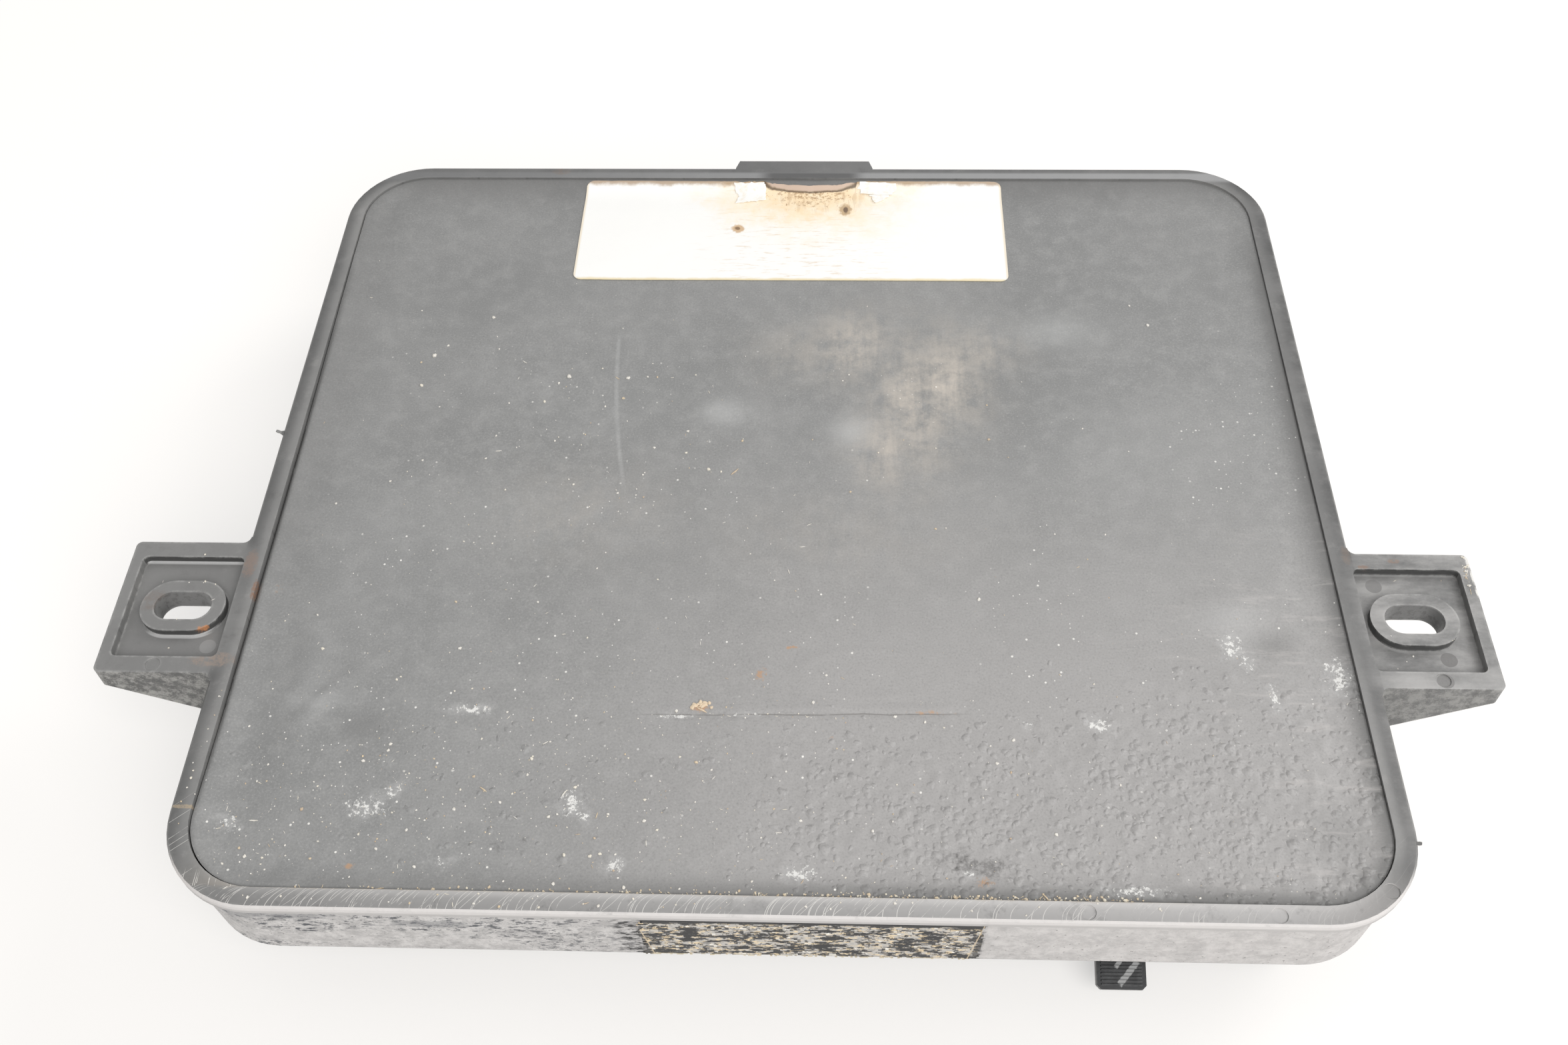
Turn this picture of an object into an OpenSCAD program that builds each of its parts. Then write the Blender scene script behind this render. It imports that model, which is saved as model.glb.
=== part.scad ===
// Engine control unit: a circuit board potted into a moulded tray with two slotted ears.
// Millimetres, +Z up. It lies on the flat bottom of its pan with the potted side up.
// The origin is under the middle of the rim, on the plane that the pan rests on.

/* [Rim and tray] */
// Width of the rim, left to right
rim_w = 220; // [206:1:240]
// Depth of the rim, front to back
rim_d = 195; // [184:1:215]
// Corner radius of the rim's outer edge
rim_r = 18; // [16:0.5:24]
// Width of the rim's flat top
rim_face = 3.8; // [3.2:0.1:5]
// Height of the lip that runs round the rim
lip_h = 2.3; // [1.6:0.1:4]
// How far the lip stands out from the wall below it
lip_step = 1.1; // [0.6:0.1:1.5]
// Chamfer on the lip's top edge
lip_edge = 0.4; // [0.2:0.1:0.8]
// Height of the tray, from its underside to the rim's top
tray_h = 21; // [20.5:0.5:26]
// How far the tray's wall leans in over its height
tray_lean = 0.7; // [0.1:0.1:1.2]
// Thickness of the tray's floor
floor_t = 2.5; // [2:0.1:3]
// Width of the ledge that carries the circuit board
ledge_w = 2; // [1.2:0.1:2.6]
// How deep the moulding's ears and tongue are rooted in its wall
root_bite = 0.8; // [0.4:0.1:1]

/* [Pan] */
// How far the pan drops below the tray
pan_drop = 19; // [17:0.5:26]
// Setback of the pan from the rim at the left and right
pan_side = 17; // [16.5:0.5:20]
// Setback of the pan from the rim at the front
pan_front = 53.5; // [50:0.5:58]
// Setback of the pan from the rim at the back
pan_back = 13.5; // [12:0.5:18]
// Corner radius of the pan
pan_r = 12; // [8:0.5:16]
// How far the pan's wall leans in over its drop
pan_lean = 1; // [0.4:0.1:2]
// Thickness of the pan's wall and floor
pan_wall = 2.5; // [2:0.1:3]
// Chamfer round the pan's bottom
pan_edge = 1.2; // [0.5:0.1:1.6]
// Thickness of the ribs that brace the pan against the tray
rib_t = 2; // [1.2:0.1:3]
// Reach of those ribs along the tray's underside
rib_run = 9; // [5:0.5:10]
// Reach of those ribs down the pan
rib_drop = 13; // [6:0.5:15]
// Distance from one of those ribs to the next
rib_pitch = 42; // [30:1:46]

/* [Ears and tongue] */
// Reach of an ear beyond the rim
ear_reach = 23; // [21:0.5:30]
// Width of an ear, front to back
ear_w = 31; // [28:0.5:38]
// Distance from the middle of the rim forward to the middle of the ears
ear_forward = 35.1; // [20:0.1:50]
// Thickness of an ear's plate
ear_t = 5; // [4:0.1:7]
// Corner radius of an ear
ear_r = 1.2; // [0.6:0.1:2]
// Radius of the fillet where an ear meets the rim
ear_fillet = 1.5; // [0.5:0.1:2.5]
// Thickness of the web under each side of an ear
web_t = 3; // [2:0.1:4]
// How far an ear's webs reach down the wall, from the rim's top
web_drop = 17.5; // [12:0.5:19]
// Border left round the recess in an ear
recess_border = 3.7; // [2.5:0.1:5]
// Border left at the outer end of that recess
recess_end = 2.3; // [1.5:0.1:3]
// Depth of that recess
recess_depth = 1.9; // [1:0.1:2.6]
// Length of a bolt slot, left to right
slot_l = 11.4; // [9:0.1:13]
// Width of a bolt slot
slot_w = 6.5; // [5.5:0.1:8]
// Distance from the rim's edge to the middle of a slot
slot_out = 9.6; // [9:0.1:11]
// Width of the raised seat round a slot
seat_w = 2.7; // [1.5:0.1:2.8]
// Width of the tongue at the back, at its tip
tongue_w = 31.9; // [20:0.1:50]
// Reach of the tongue beyond the rim
tongue_reach = 2.6; // [1.5:0.1:5]
// How much wider the tongue is at its root, each side
tongue_flare = 0.9; // [0:0.1:2]
// Thickness of the tongue
tongue_t = 5; // [3:0.1:8]
// Diameter of the ejector marks
mark_d = 2.9; // [2:0.1:3.1]
// Depth of the ejector marks
mark_depth = 0.2; // [0.1:0.05:0.4]
// Distance from the rim's side to the first mark on its front
mark_first = 26.2; // [22:0.1:40]
// Distance from a slot's middle out to the mark in front of it
mark_out = 2.2; // [0:0.1:5]
// Distance between the marks on the rim's front
mark_pitch = 32.1; // [20:0.1:50]

/* [Potting and board] */
// Depth of the potting's surface below the rim
potting_drop = 1.3; // [0.9:0.1:2.5]
// Thickness of the potting over the board
potting_t = 5; // [4:0.1:6]
// Width of the potting's rolled edge
roll_w = 3; // [1:0.1:5]
// Drop of the potting's rolled edge
roll_h = 0.7; // [0.3:0.1:1.2]
// Thickness of the circuit board
board_t = 1.6; // [1.2:0.1:2]
// Gap between the board and the tray's wall
board_gap = 0.4; // [0.2:0.05:0.8]
// Diameter of the bosses that take the board's screws
boss_d = 7; // [6:0.1:8]
// Distance from the rim's edge to the middle of the bosses, left and right
boss_side = 13; // [11:0.5:13.5]
// Distance from the rim's edge to the middle of the bosses, front and back
boss_end = 10.5; // [10:0.5:12]
// Gap between the header's flange and the bosses beside it
boss_gap = 4.5; // [1:0.1:5]
// Distance from the middle of the rim back to the bosses at mid side
boss_mid = 20; // [0:1:40]

/* [Labels] */
// Length of the label on the potting
top_label_l = 101.3; // [60:0.1:150]
// Width of the label on the potting
top_label_w = 34.7; // [20:0.1:50]
// Distance from the rim's inner edge to that label
top_label_gap = 0.2; // [0:0.1:5]
// Distance from the middle of the rim left to the middle of that label
top_label_left = 2.6; // [-20:0.1:20]
// Length of the label on the front wall
front_label_l = 60; // [40:0.5:100]
// Height of the label on the front wall
front_label_h = 16; // [10:0.1:16.5]
// Distance from the lip down to that label
front_label_gap = 1; // [0.2:0.1:1.5]
// Distance from the middle of the rim right to the middle of that label
front_label_right = 4.7; // [-20:0.1:20]
// Corner radius of both labels
label_r = 2; // [0.5:0.1:4]
// Thickness of both labels
label_t = 0.2; // [0.1:0.05:0.4]

/* [Connector] */
// Length of the plug's shroud
header_l = 76; // [72:0.5:78]
// Width of the plug's shroud
header_w = 24; // [22:0.5:26]
// Corner radius of the shroud
header_r = 3.5; // [2.5:0.1:5]
// Wall of the shroud
shroud_wall = 2; // [1.5:0.1:2.5]
// Distance from the rim's right edge to the shroud
header_side = 9.4; // [8.5:0.1:14]
// Distance from the rim's front edge to the front of the shroud
header_front = 13; // [12.5:0.1:16]
// Height of the shroud's mouth above the pan's bottom
mouth_gap = 1; // [0.5:0.1:3]
// Depth of the socket inside the shroud
socket_depth = 16; // [14:0.5:17]
// Reach of the header's flange round the shroud
flange_w = 2; // [1.5:0.1:2.4]
// Thickness of that flange
flange_t = 2.5; // [2:0.1:3.5]
// Clearance of the shroud in the tray's floor
header_gap = 0.2; // [0.1:0.05:0.4]
// Thickness of the gasket under the flange
gasket_t = 1; // [0.6:0.1:1.5]
// Width of a square pin
pin_w = 0.9; // [0.6:0.05:1]
// Distance between pins along a row
pin_pitch = 2.9; // [2.5:0.05:3]
// Pins in a row on each side of the bolt
pin_columns = 10; // [6:1:10]
// Distance between the rows of pins
row_pitch = 4.5; // [4:0.1:5]
// Distance from the bolt's axis to the first pins
pin_clear = 7; // [6.6:0.1:7.4]
// How far the pins' tips stay inside the mouth
pin_recess = 6.5; // [5:0.1:8]
// Length of the pins' tails above the board
pin_tail = 1.3; // [0.6:0.1:2]
// Hole in the board round a pin
pin_hole_d = 1.5; // [1.45:0.05:1.8]
// Diameter of the boss round the threaded bush
bush_boss_d = 10; // [9.4:0.1:11]
// Outer diameter of the threaded bush
bush_d = 7; // [6:0.1:8]
// Bore of the threaded bush
bush_bore_d = 4.2; // [3.3:0.1:5]
// Length of the threaded bush
bush_l = 11; // [8:0.5:12]
// How far the bush's boss stands into the socket
bush_out = 7; // [4:0.5:9]

/* [Finger tab] */
// Width of the finger tab on the shroud
tab_w = 9.2; // [6:0.1:14]
// Length of the tab
tab_l = 12.2; // [8:0.1:13]
// Thickness of the tab
tab_t = 2; // [1.4:0.1:2.5]
// Downward slant of the tab
tab_slant = 20; // [0:1:22]
// Height of the tab's top at its root, above the shroud's mouth
tab_up = 9.2; // [8:0.1:13]
// Chamfer at the tab's tip corners
tab_corner = 0.8; // [0.2:0.1:1.5]
// Distance between the tab's grip ribs
tab_rib_pitch = 0.65; // [0.5:0.05:1]
// Height of those ribs
tab_rib_h = 0.3; // [0.15:0.05:0.5]
// Number of those ribs
tab_ribs = 9; // [3:1:10]
// Side of the square windows at the tab's root
tab_window = 2.4; // [1:0.1:3]
// Distance from the shroud to those windows
tab_window_gap = 1; // [0.3:0.1:1.2]

/* [Chips] */
// Height of a chip's body
chip_h = 3.6; // [2.5:0.1:4.5]
// Height of a chip's body above the board
chip_lift = 0.8; // [0.3:0.1:1.2]
// How far a chip's sides lean in above and below its leads
chip_lean = 0.4; // [0.1:0.05:0.6]
// How far a chip's body runs past its end leads
chip_end = 2; // [1:0.1:2.5]
// Distance between the leads of a two-row chip
lead_pitch = 2.54; // [2:0.01:2.54]
// Width of a chip's leads
lead_w = 0.6; // [0.4:0.05:0.7]
// Thickness of a chip's leads
lead_t = 0.3; // [0.2:0.05:0.4]
// Side of the square processor
processor_w = 24; // [22.5:0.1:26]
// Chamfer at the processor's first corner
processor_corner = 1.2; // [0.5:0.1:1.3]
// Leads on each side of the processor
processor_leads = 17; // [11:1:17]
// Distance between the processor's leads
processor_pitch = 1.27; // [0.8:0.01:1.27]
// Body width of the wide chips
wide_chip_w = 13.6; // [10:0.1:15]
// Body width of the narrow chips
slim_chip_w = 6.4; // [5:0.1:8]
// Distance between the driver chips
driver_pitch = 15; // [11:0.5:16]
// Length of the quartz crystal's can
crystal_l = 11; // [8:0.1:12]
// Width of the quartz crystal's can
crystal_w = 4.6; // [3.5:0.1:5]
// Reach of the rim round the foot of that can
crystal_rim = 0.5; // [0.2:0.1:0.8]
// Height of the quartz crystal's can
crystal_h = 7; // [3.5:0.1:13]

/* [Power stage] */
// Length of the heat sink
sink_l = 70; // [66:0.5:76]
// Height of the heat sink
sink_h = 24; // [22:0.5:26]
// Thickness of the heat sink
sink_t = 4; // [3:0.1:5]
// Depth of the heat sink's foot
sink_foot = 12; // [9:0.5:13]
// Distance from the heat sink's ends to its screws
sink_screw_end = 8; // [5:0.5:14]
// Gap between the heat sink and the pan's wall
sink_gap = 3.5; // [2:0.1:5]
// Distance between the transistors
device_pitch = 13; // [11:0.1:13.5]
// Width of a transistor
device_w = 10; // [8:0.1:10.4]
// Thickness of a transistor's mounting plate
device_plate = 1.3; // [0.8:0.1:1.8]
// Thickness of a transistor's body in front of that plate
device_body = 3.1; // [2:0.1:4]
// Height of a transistor's body
device_h = 9; // [7:0.1:9.4]
// Length of a transistor's mounting plate
device_plate_h = 15.5; // [14.5:0.1:17]
// Length of a transistor's leads
device_lead = 4; // [2:0.1:5]
// Distance from a transistor's plate top down to its screw
device_hole = 3; // [2.9:0.1:3.5]

/* [Screws] */
// Diameter of the screws' shanks
screw_d = 3; // [2.5:0.1:3.2]
// Diameter of the screws' heads
screw_head_d = 5.5; // [5:0.1:5.8]
// Height of the screws' heads
screw_head_h = 2.2; // [1.5:0.1:2.8]
// Length of the board's screws below the head
screw_l = 8; // [6:0.5:9]
// Length of the transistors' screws below the head
device_screw_l = 5; // [4:0.1:5.2]
// Room left below a screw's tip
screw_tip = 1; // [0.5:0.1:2]
// Clearance round a screw where it passes through
screw_gap = 0.2; // [0.1:0.05:0.4]
// Clearance round a screw in its thread
thread_gap = 0.05; // [0.02:0.01:0.1]
// Width across the corners of the screws' sockets
socket_d = 2.8; // [2:0.1:3]

/* [Small parts] */
// Diameter of the filter capacitors
can_d = 16; // [12:0.5:18]
// Height of the filter capacitors
can_h = 24; // [16:0.5:25]
// Distance between the filter capacitors
can_pitch = 20; // [18.5:0.5:21]
// Depth of the crimp in a capacitor's can
can_crimp = 0.8; // [0.3:0.1:1.2]
// Diameter of the choke's core
choke_d = 18; // [14:0.5:20]
// Diameter of the choke's middle
choke_core_d = 9; // [6:0.5:11]
// Height of the choke's core
choke_h = 14; // [10:0.5:20]
// Thickness of the choke's end flanges
choke_flange = 2; // [1:0.1:3]
// Diameter of the choke's wire
wire_d = 1; // [0.6:0.1:1.5]
// Gap from one turn of that wire to the next
wire_gap = 0.02; // [0.01:0.01:0.05]
// Length of a resistor pack
pack_l = 21; // [16:0.5:24]
// Thickness of a resistor pack
pack_t = 2.4; // [1.6:0.1:3]
// Height of a resistor pack
pack_h = 6; // [4:0.1:8]
// Distance between the resistor packs
pack_pitch = 6; // [4:0.1:6.5]
// Width of a noise capacitor
noise_w = 7.2; // [5:0.1:9]
// Thickness of a noise capacitor
noise_t = 2.5; // [1.5:0.1:4]
// Height of a noise capacitor
noise_h = 6.5; // [4:0.1:8]
// Distance between the noise capacitors
noise_pitch = 7; // [5:0.1:7]
// Diameter of a diode
diode_d = 3; // [2:0.1:4]
// Length of a diode's body
diode_l = 6; // [4:0.1:8]
// Distance between the diodes
diode_pitch = 6; // [4.5:0.1:6.5]
// Diameter of the surge suppressor
surge_d = 8; // [5:0.1:8.6]
// Length of the surge suppressor's body
surge_l = 9; // [6:0.1:10]
// Diameter of the leads of diodes and the suppressor
axial_lead_d = 1; // [0.6:0.1:1.4]
// Reach of those leads beyond the body
axial_lead_l = 3; // [2:0.1:4]
// Length of a sense resistor
sense_l = 20; // [14:0.5:22]
// Width and height of a sense resistor
sense_w = 6; // [4:0.1:8]
// Chamfer along the top edges of the packs, capacitors and resistors
part_edge = 0.5; // [0.2:0.1:0.6]

/* [Board layout] */
// Distance from the pan's left wall to the first filter capacitor
can_inset = 14; // [12:0.5:18]
// Distance from the pan's back wall to the filter capacitors
can_back = 25; // [14:0.5:28]
// Distance from the pan's front wall to the row of large chips
logic_front = 54; // [48:0.5:58]
// Distance from the pan's left wall to the processor
processor_inset = 46; // [42:0.5:50]
// Distance from the pan's left wall to the quartz crystal
crystal_inset = 22; // [14:0.5:26]
// Distance from the pan's left wall to the program memory
memory_inset = 84; // [80:0.5:88]
// Distance from the pan's right wall to the first driver chip
driver_inset = 9; // [6:0.5:14]
// Distance from the pan's front wall to the row before the large chips
second_front = 20; // [16:0.5:26]
// Distance from the pan's left wall to the resistor packs
pack_inset = 98; // [88:0.5:102]
// Distance from the pan's right wall to the first diode
diode_inset = 15; // [6:0.5:24]
// Gap between the header's flange and the noise capacitors
noise_gap = 3; // [1:0.1:6]
// Distance from the tray's left wall to the surge suppressor
surge_inset = 28; // [20:0.5:32]
// Distance from the tray's front wall to the surge suppressor
surge_front = 24; // [14:0.5:28]
// Gap between the surge suppressor's place and the sense resistors
sense_gap = 6; // [4:0.1:9]

/* [Hidden] */
$fn = 64;
// Overlap that lets a cut run clear of a face
cut = 1;
sides = [-1, 1];

// Levels, from the pan's bottom up
tray_low = pan_drop;
rim_top = tray_low + tray_h;
lip_low = rim_top - lip_h;
floor_top = tray_low + floor_t;
potting_top = rim_top - potting_drop;
board_top = potting_top - potting_t;
board_low = board_top - board_t;

// Plan sizes of the tray, inside and out
wall_w = rim_w - 2 * lip_step;
wall_d = rim_d - 2 * lip_step;
wall_r = rim_r - lip_step;
pocket_w = rim_w - 2 * rim_face;
pocket_d = rim_d - 2 * rim_face;
pocket_r = rim_r - rim_face;
well_w = pocket_w - 2 * ledge_w;
well_d = pocket_d - 2 * ledge_w;
well_r = pocket_r - ledge_w;

// Plan sizes of the pan at the tray's underside, and where its inside ends
pan_w = rim_w - 2 * pan_side;
pan_d = rim_d - pan_front - pan_back;
pan_y = (pan_front - pan_back) / 2;
pan_in_w = pan_w - 2 * pan_wall;
pan_in_d = pan_d - 2 * pan_wall;
pan_in_x = pan_in_w / 2 - pan_lean;
pan_in_front = pan_y - pan_in_d / 2 + pan_lean;
pan_in_back = pan_y + pan_in_d / 2 - pan_lean;

// Ears, slots and tongue
ear_y = -ear_forward;
ear_root = pocket_w / 2 + root_bite;
ear_tip = rim_w / 2 + ear_reach;
slot_x = rim_w / 2 + slot_out;
tongue_root = pocket_d / 2 + root_bite;
tongue_tip = rim_d / 2 + tongue_reach;

// Connector
header_x = rim_w / 2 - header_side - header_l / 2;
header_y = -rim_d / 2 + header_front + header_w / 2;
header_face = header_y - header_w / 2;
header_low = mouth_gap;
socket_top = header_low + socket_depth;
flange_low = floor_top + gasket_t;
flange_top = flange_low + flange_t;
bush_low = socket_top - bush_out;
bush_top = bush_low + bush_l;

// Where the board's screws stand
boss_x = rim_w / 2 - boss_side;
boss_y = rim_d / 2 - boss_end;
boss_right_y = header_y + header_w / 2 + flange_w + boss_gap + boss_d / 2;
boss_front_x = header_x - header_l / 2 - flange_w - boss_gap - boss_d / 2;
screw_places = [[-boss_x, -boss_y], [boss_front_x, -boss_y], [boss_x, boss_right_y],
    [-boss_x, boss_mid], [boss_x, boss_mid], [-boss_x, boss_y], [boss_x, boss_y]];

// Where the parts hang from the board
sink_x = pan_in_x - sink_gap - sink_l / 2;
sink_y = pan_in_back - sink_gap - sink_foot - sink_t;
sink_screw_x = sink_l / 2 - sink_screw_end;
sink_screw_y = sink_t + sink_foot / 2;
device_count = 5;
can_count = 3;
driver_count = 4;
pack_count = 4;
diode_count = 6;
sense_count = 2;
noise_count = 9;
memory_leads = 14;
interface_leads = 20;
driver_leads = 8;
device_screw_z = device_lead + device_plate_h - device_hole;
can_x = -pan_in_x + can_inset;
can_y = pan_in_back - can_back;
choke_x = can_x + can_count * can_pitch;
logic_y = pan_in_front + logic_front;
second_y = pan_in_front + second_front;
noise_y = header_y + header_w / 2 + flange_w + noise_w / 2 + noise_gap;
surge_x = -well_w / 2 + surge_inset;
surge_y = -well_d / 2 + surge_front;

// A flat outline with round corners
module rounded_outline(w, d, r) {
    square([w - 2 * r, d], center = true);
    square([w, d - 2 * r], center = true);
    for (sx = sides, sy = sides)
        translate([sx * (w / 2 - r), sy * (d / 2 - r)])
            circle(r);
}

// An upright block with round corners
module rounded_block(w, d, r, h) {
    linear_extrude(h)
        rounded_outline(w, d, r);
}

// A block with round corners whose walls lean out by grow from bottom to top
module leaning_block(w, d, r, h, grow) {
    for (sx = sides, sy = sides)
        translate([sx * (w / 2 - r), sy * (d / 2 - r), 0])
            cylinder(h = h, r1 = r, r2 = r + grow);
    translate([-(w / 2 - r), 0, 0])
        rotate([90, 0, 90])
            linear_extrude(w - 2 * r)
                leaning_profile(d, h, grow);
    translate([0, d / 2 - r, 0])
        rotate([90, 0, 0])
            linear_extrude(d - 2 * r)
                leaning_profile(w, h, grow);
}

module leaning_profile(w, h, grow) {
    polygon([[-w / 2, 0], [w / 2, 0], [w / 2 + grow, h], [-w / 2 - grow, h]]);
}

// A slot or pad with round ends, along X
module stadium(l, w, h) {
    for (s = sides)
        translate([s * (l - w) / 2, 0, 0])
            cylinder(d = w, h = h);
    translate([-(l - w) / 2, -w / 2, 0])
        cube([l - w, w, h]);
}

// Places its children on both sides of the tray
module both_sides() {
    for (s = [0, 1])
        mirror([s, 0, 0])
            children();
}

// Places its children under the board, with their own +Z hanging down
module under_board(x, y, turn = 0) {
    translate([x, y, board_low])
        rotate(turn)
            mirror([0, 0, 1])
                children();
}

// A round-headed screw with a six-sided socket, shank down, head on the plane at zero
module screw(length) {
    difference() {
        union() {
            cylinder(d = screw_head_d, h = screw_head_h);
            translate([0, 0, -length])
                cylinder(d = screw_d, h = length + screw_head_h / 4);
        }
        translate([0, 0, screw_head_h / 2])
            cylinder(d = socket_d, h = screw_head_h, $fn = 6);
    }
}

// The tray's outside: a leaning wall that runs up inside a chamfered lip
module tray_outside() {
    translate([0, 0, lip_low])
        rounded_block(rim_w, rim_d, rim_r, lip_h - lip_edge);
    translate([0, 0, rim_top - lip_edge])
        leaning_block(rim_w, rim_d, rim_r, lip_edge, -lip_edge);
    translate([0, 0, tray_low])
        leaning_block(wall_w - 2 * tray_lean, wall_d - 2 * tray_lean, wall_r - tray_lean,
            tray_h, tray_lean);
}

// The pan's outside, with a chamfer round its bottom
module pan_outside() {
    low_w = pan_w - 2 * pan_lean;
    low_d = pan_d - 2 * pan_lean;
    low_r = pan_r - pan_lean;
    translate([0, pan_y, pan_edge])
        leaning_block(low_w, low_d, low_r, pan_drop - pan_edge, pan_lean);
    translate([0, pan_y, 0])
        leaning_block(low_w - 2 * pan_edge, low_d - 2 * pan_edge, low_r - pan_edge, pan_edge, pan_edge);
    translate([0, pan_y, 0])
        rounded_block(low_w - 2 * pan_edge, low_d - 2 * pan_edge, low_r - pan_edge, floor_top);
}

module pan_inside() {
    translate([0, pan_y, pan_wall])
        leaning_block(pan_in_w - 2 * pan_lean, pan_in_d - 2 * pan_lean, pan_r - pan_wall - pan_lean,
            pan_drop - pan_wall, pan_lean);
    translate([0, pan_y, pan_drop])
        rounded_block(pan_in_w, pan_in_d, pan_r - pan_wall, floor_t + cut);
}

// One three-cornered rib between the pan's wall at zero and the tray's underside
module pan_rib() {
    root = pan_lean + pan_wall / 4;
    translate([0, rib_t / 2, tray_low])
        rotate([90, 0, 0])
            linear_extrude(rib_t)
                polygon([[-root, floor_t / 2], [rib_run, floor_t / 2], [rib_run, -rib_t / 2], [0, -rib_drop],
                    [-root, -rib_drop]]);
}

module pan_ribs() {
    both_sides()
        for (step = [-1:1])
            translate([pan_w / 2, pan_y + step * rib_pitch, 0])
                pan_rib();
    for (step = [-1:1])
        translate([step * rib_pitch, pan_y + pan_d / 2, 0])
            rotate(90)
                pan_rib();
    for (step = [0:1])
        translate([-(step + 0.5) * rib_pitch, pan_y - pan_d / 2, 0])
            rotate(-90)
                pan_rib();
}

// The right ear: plate, root fillets and two webs
module ear() {
    translate([0, ear_y, rim_top - ear_t])
        linear_extrude(ear_t) {
            translate([(ear_root + ear_tip) / 2, 0])
                rounded_outline(ear_tip - ear_root, ear_w, ear_r);
            translate([ear_root, -ear_w / 2])
                square([ear_r * 2, ear_w]);
            for (s = sides)
                translate([rim_w / 2, s * ear_w / 2])
                    mirror([0, s < 0 ? 1 : 0])
                        difference() {
                            translate([-lip_step, -root_bite])
                                square([ear_fillet + lip_step, ear_fillet + root_bite]);
                            translate([ear_fillet, ear_fillet])
                                circle(ear_fillet);
                        }
        }
    for (s = sides)
        translate([0, ear_y + s * (ear_w - web_t) / 2 + web_t / 2, rim_top])
            rotate([90, 0, 0])
                linear_extrude(web_t)
                    polygon([[ear_root, -ear_t / 2], [ear_tip - ear_r, -ear_t / 2],
                        [ear_tip - ear_r, -ear_t], [wall_w / 2 - tray_lean, -web_drop],
                        [ear_root, -web_drop]]);
}

// The recess, slot and ejector marks of the right ear
module ear_cuts() {
    recess_l = ear_reach - recess_end;
    seat_l = slot_l + 2 * seat_w;
    difference() {
        translate([rim_w / 2 + recess_l / 2, ear_y, rim_top - recess_depth])
            rounded_block(recess_l, ear_w - 2 * recess_border, ear_r, recess_depth + cut);
        translate([slot_x, ear_y, rim_top - recess_depth - cut])
            stadium(seat_l, slot_w + 2 * seat_w, recess_depth + 3 * cut);
    }
    translate([slot_x, ear_y, rim_top - ear_t - cut])
        stadium(slot_l, slot_w, ear_t + 2 * cut);
    translate([slot_x + mark_out, ear_y - (ear_w - recess_border) / 2, rim_top - mark_depth])
        cylinder(d = mark_d, h = mark_depth + cut);
}

module tongue() {
    translate([0, 0, rim_top - tongue_t])
        linear_extrude(tongue_t)
            polygon([[-tongue_w / 2 - tongue_flare, tongue_root], [tongue_w / 2 + tongue_flare, tongue_root],
                [tongue_w / 2 + tongue_flare, rim_d / 2], [tongue_w / 2, tongue_tip],
                [-tongue_w / 2, tongue_tip], [-tongue_w / 2 - tongue_flare, rim_d / 2]]);
}

// Ejector marks along the right half of the rim's front
module rim_marks() {
    mark_low = rim_top - mark_depth;
    arc_r = rim_r - rim_face / 2;
    for (step = [0:1])
        translate([rim_w / 2 - mark_first - step * mark_pitch, -(rim_d - rim_face) / 2, mark_low])
            cylinder(d = mark_d, h = mark_depth + cut);
    translate([rim_w / 2 - rim_r, -(rim_d / 2 - rim_r), mark_low])
        rotate(-45)
            translate([arc_r, 0, 0])
                cylinder(d = mark_d, h = mark_depth + cut);
}

// Bosses on the tray's floor, drilled for the board's screws
module bosses() {
    boss_h = board_low - floor_top;
    for (place = screw_places)
        translate([place[0], place[1], floor_top - floor_t / 2])
            difference() {
                cylinder(d = boss_d, h = boss_h + floor_t / 2);
                translate([0, 0, boss_h + floor_t / 2 - screw_l])
                    cylinder(d = screw_d + 2 * thread_gap, h = screw_l + cut);
            }
}

module housing() {
    color("#5d5d5a") {
        difference() {
            union() {
                tray_outside();
                pan_outside();
                pan_ribs();
                both_sides()
                    ear();
                tongue();
            }
            translate([0, 0, board_low])
                rounded_block(pocket_w, pocket_d, pocket_r, rim_top - board_low + cut);
            translate([0, 0, floor_top])
                rounded_block(well_w, well_d, well_r, board_low - floor_top + cut);
            pan_inside();
            translate([header_x, header_y, tray_low - cut])
                rounded_block(header_l + 2 * header_gap, header_w + 2 * header_gap,
                    header_r + header_gap, floor_t + 2 * cut);
            both_sides()
                ear_cuts();
            rim_marks();
        }
        bosses();
    }
}

// The potting closes the pocket over the board and rolls off at its edge
module potting_compound() {
    color("#8f8f8c")
        difference() {
            union() {
                translate([0, 0, board_top])
                    rounded_block(pocket_w, pocket_d, pocket_r, potting_t - roll_h);
                translate([0, 0, potting_top - roll_h])
                    leaning_block(pocket_w, pocket_d, pocket_r, roll_h, -roll_w);
                translate([0, 0, board_top])
                    rounded_block(pocket_w - 2 * roll_w, pocket_d - 2 * roll_w, pocket_r - roll_w, potting_t);
            }
            board_screws();
            heat_sink_screws();
            connector_pins();
        }
}

module circuit_board() {
    color("#3f6b45")
        difference() {
            translate([0, 0, board_low])
                rounded_block(pocket_w - 2 * board_gap, pocket_d - 2 * board_gap,
                    pocket_r - board_gap, board_t);
            for (place = screw_places)
                translate([place[0], place[1], board_low - cut])
                    cylinder(d = screw_d + 2 * screw_gap, h = board_t + 2 * cut);
            for (s = sides)
                translate([sink_x + s * sink_screw_x, sink_y + sink_screw_y, board_low - cut])
                    cylinder(d = screw_d + 2 * screw_gap, h = board_t + 2 * cut);
            pin_places(board_low - cut)
                cylinder(d = pin_hole_d, h = board_t + 2 * cut);
        }
}

module board_screws() {
    color("#b9bab6")
        for (place = screw_places)
            translate([place[0], place[1], board_top])
                screw(screw_l + board_t - screw_tip);
}

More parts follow.
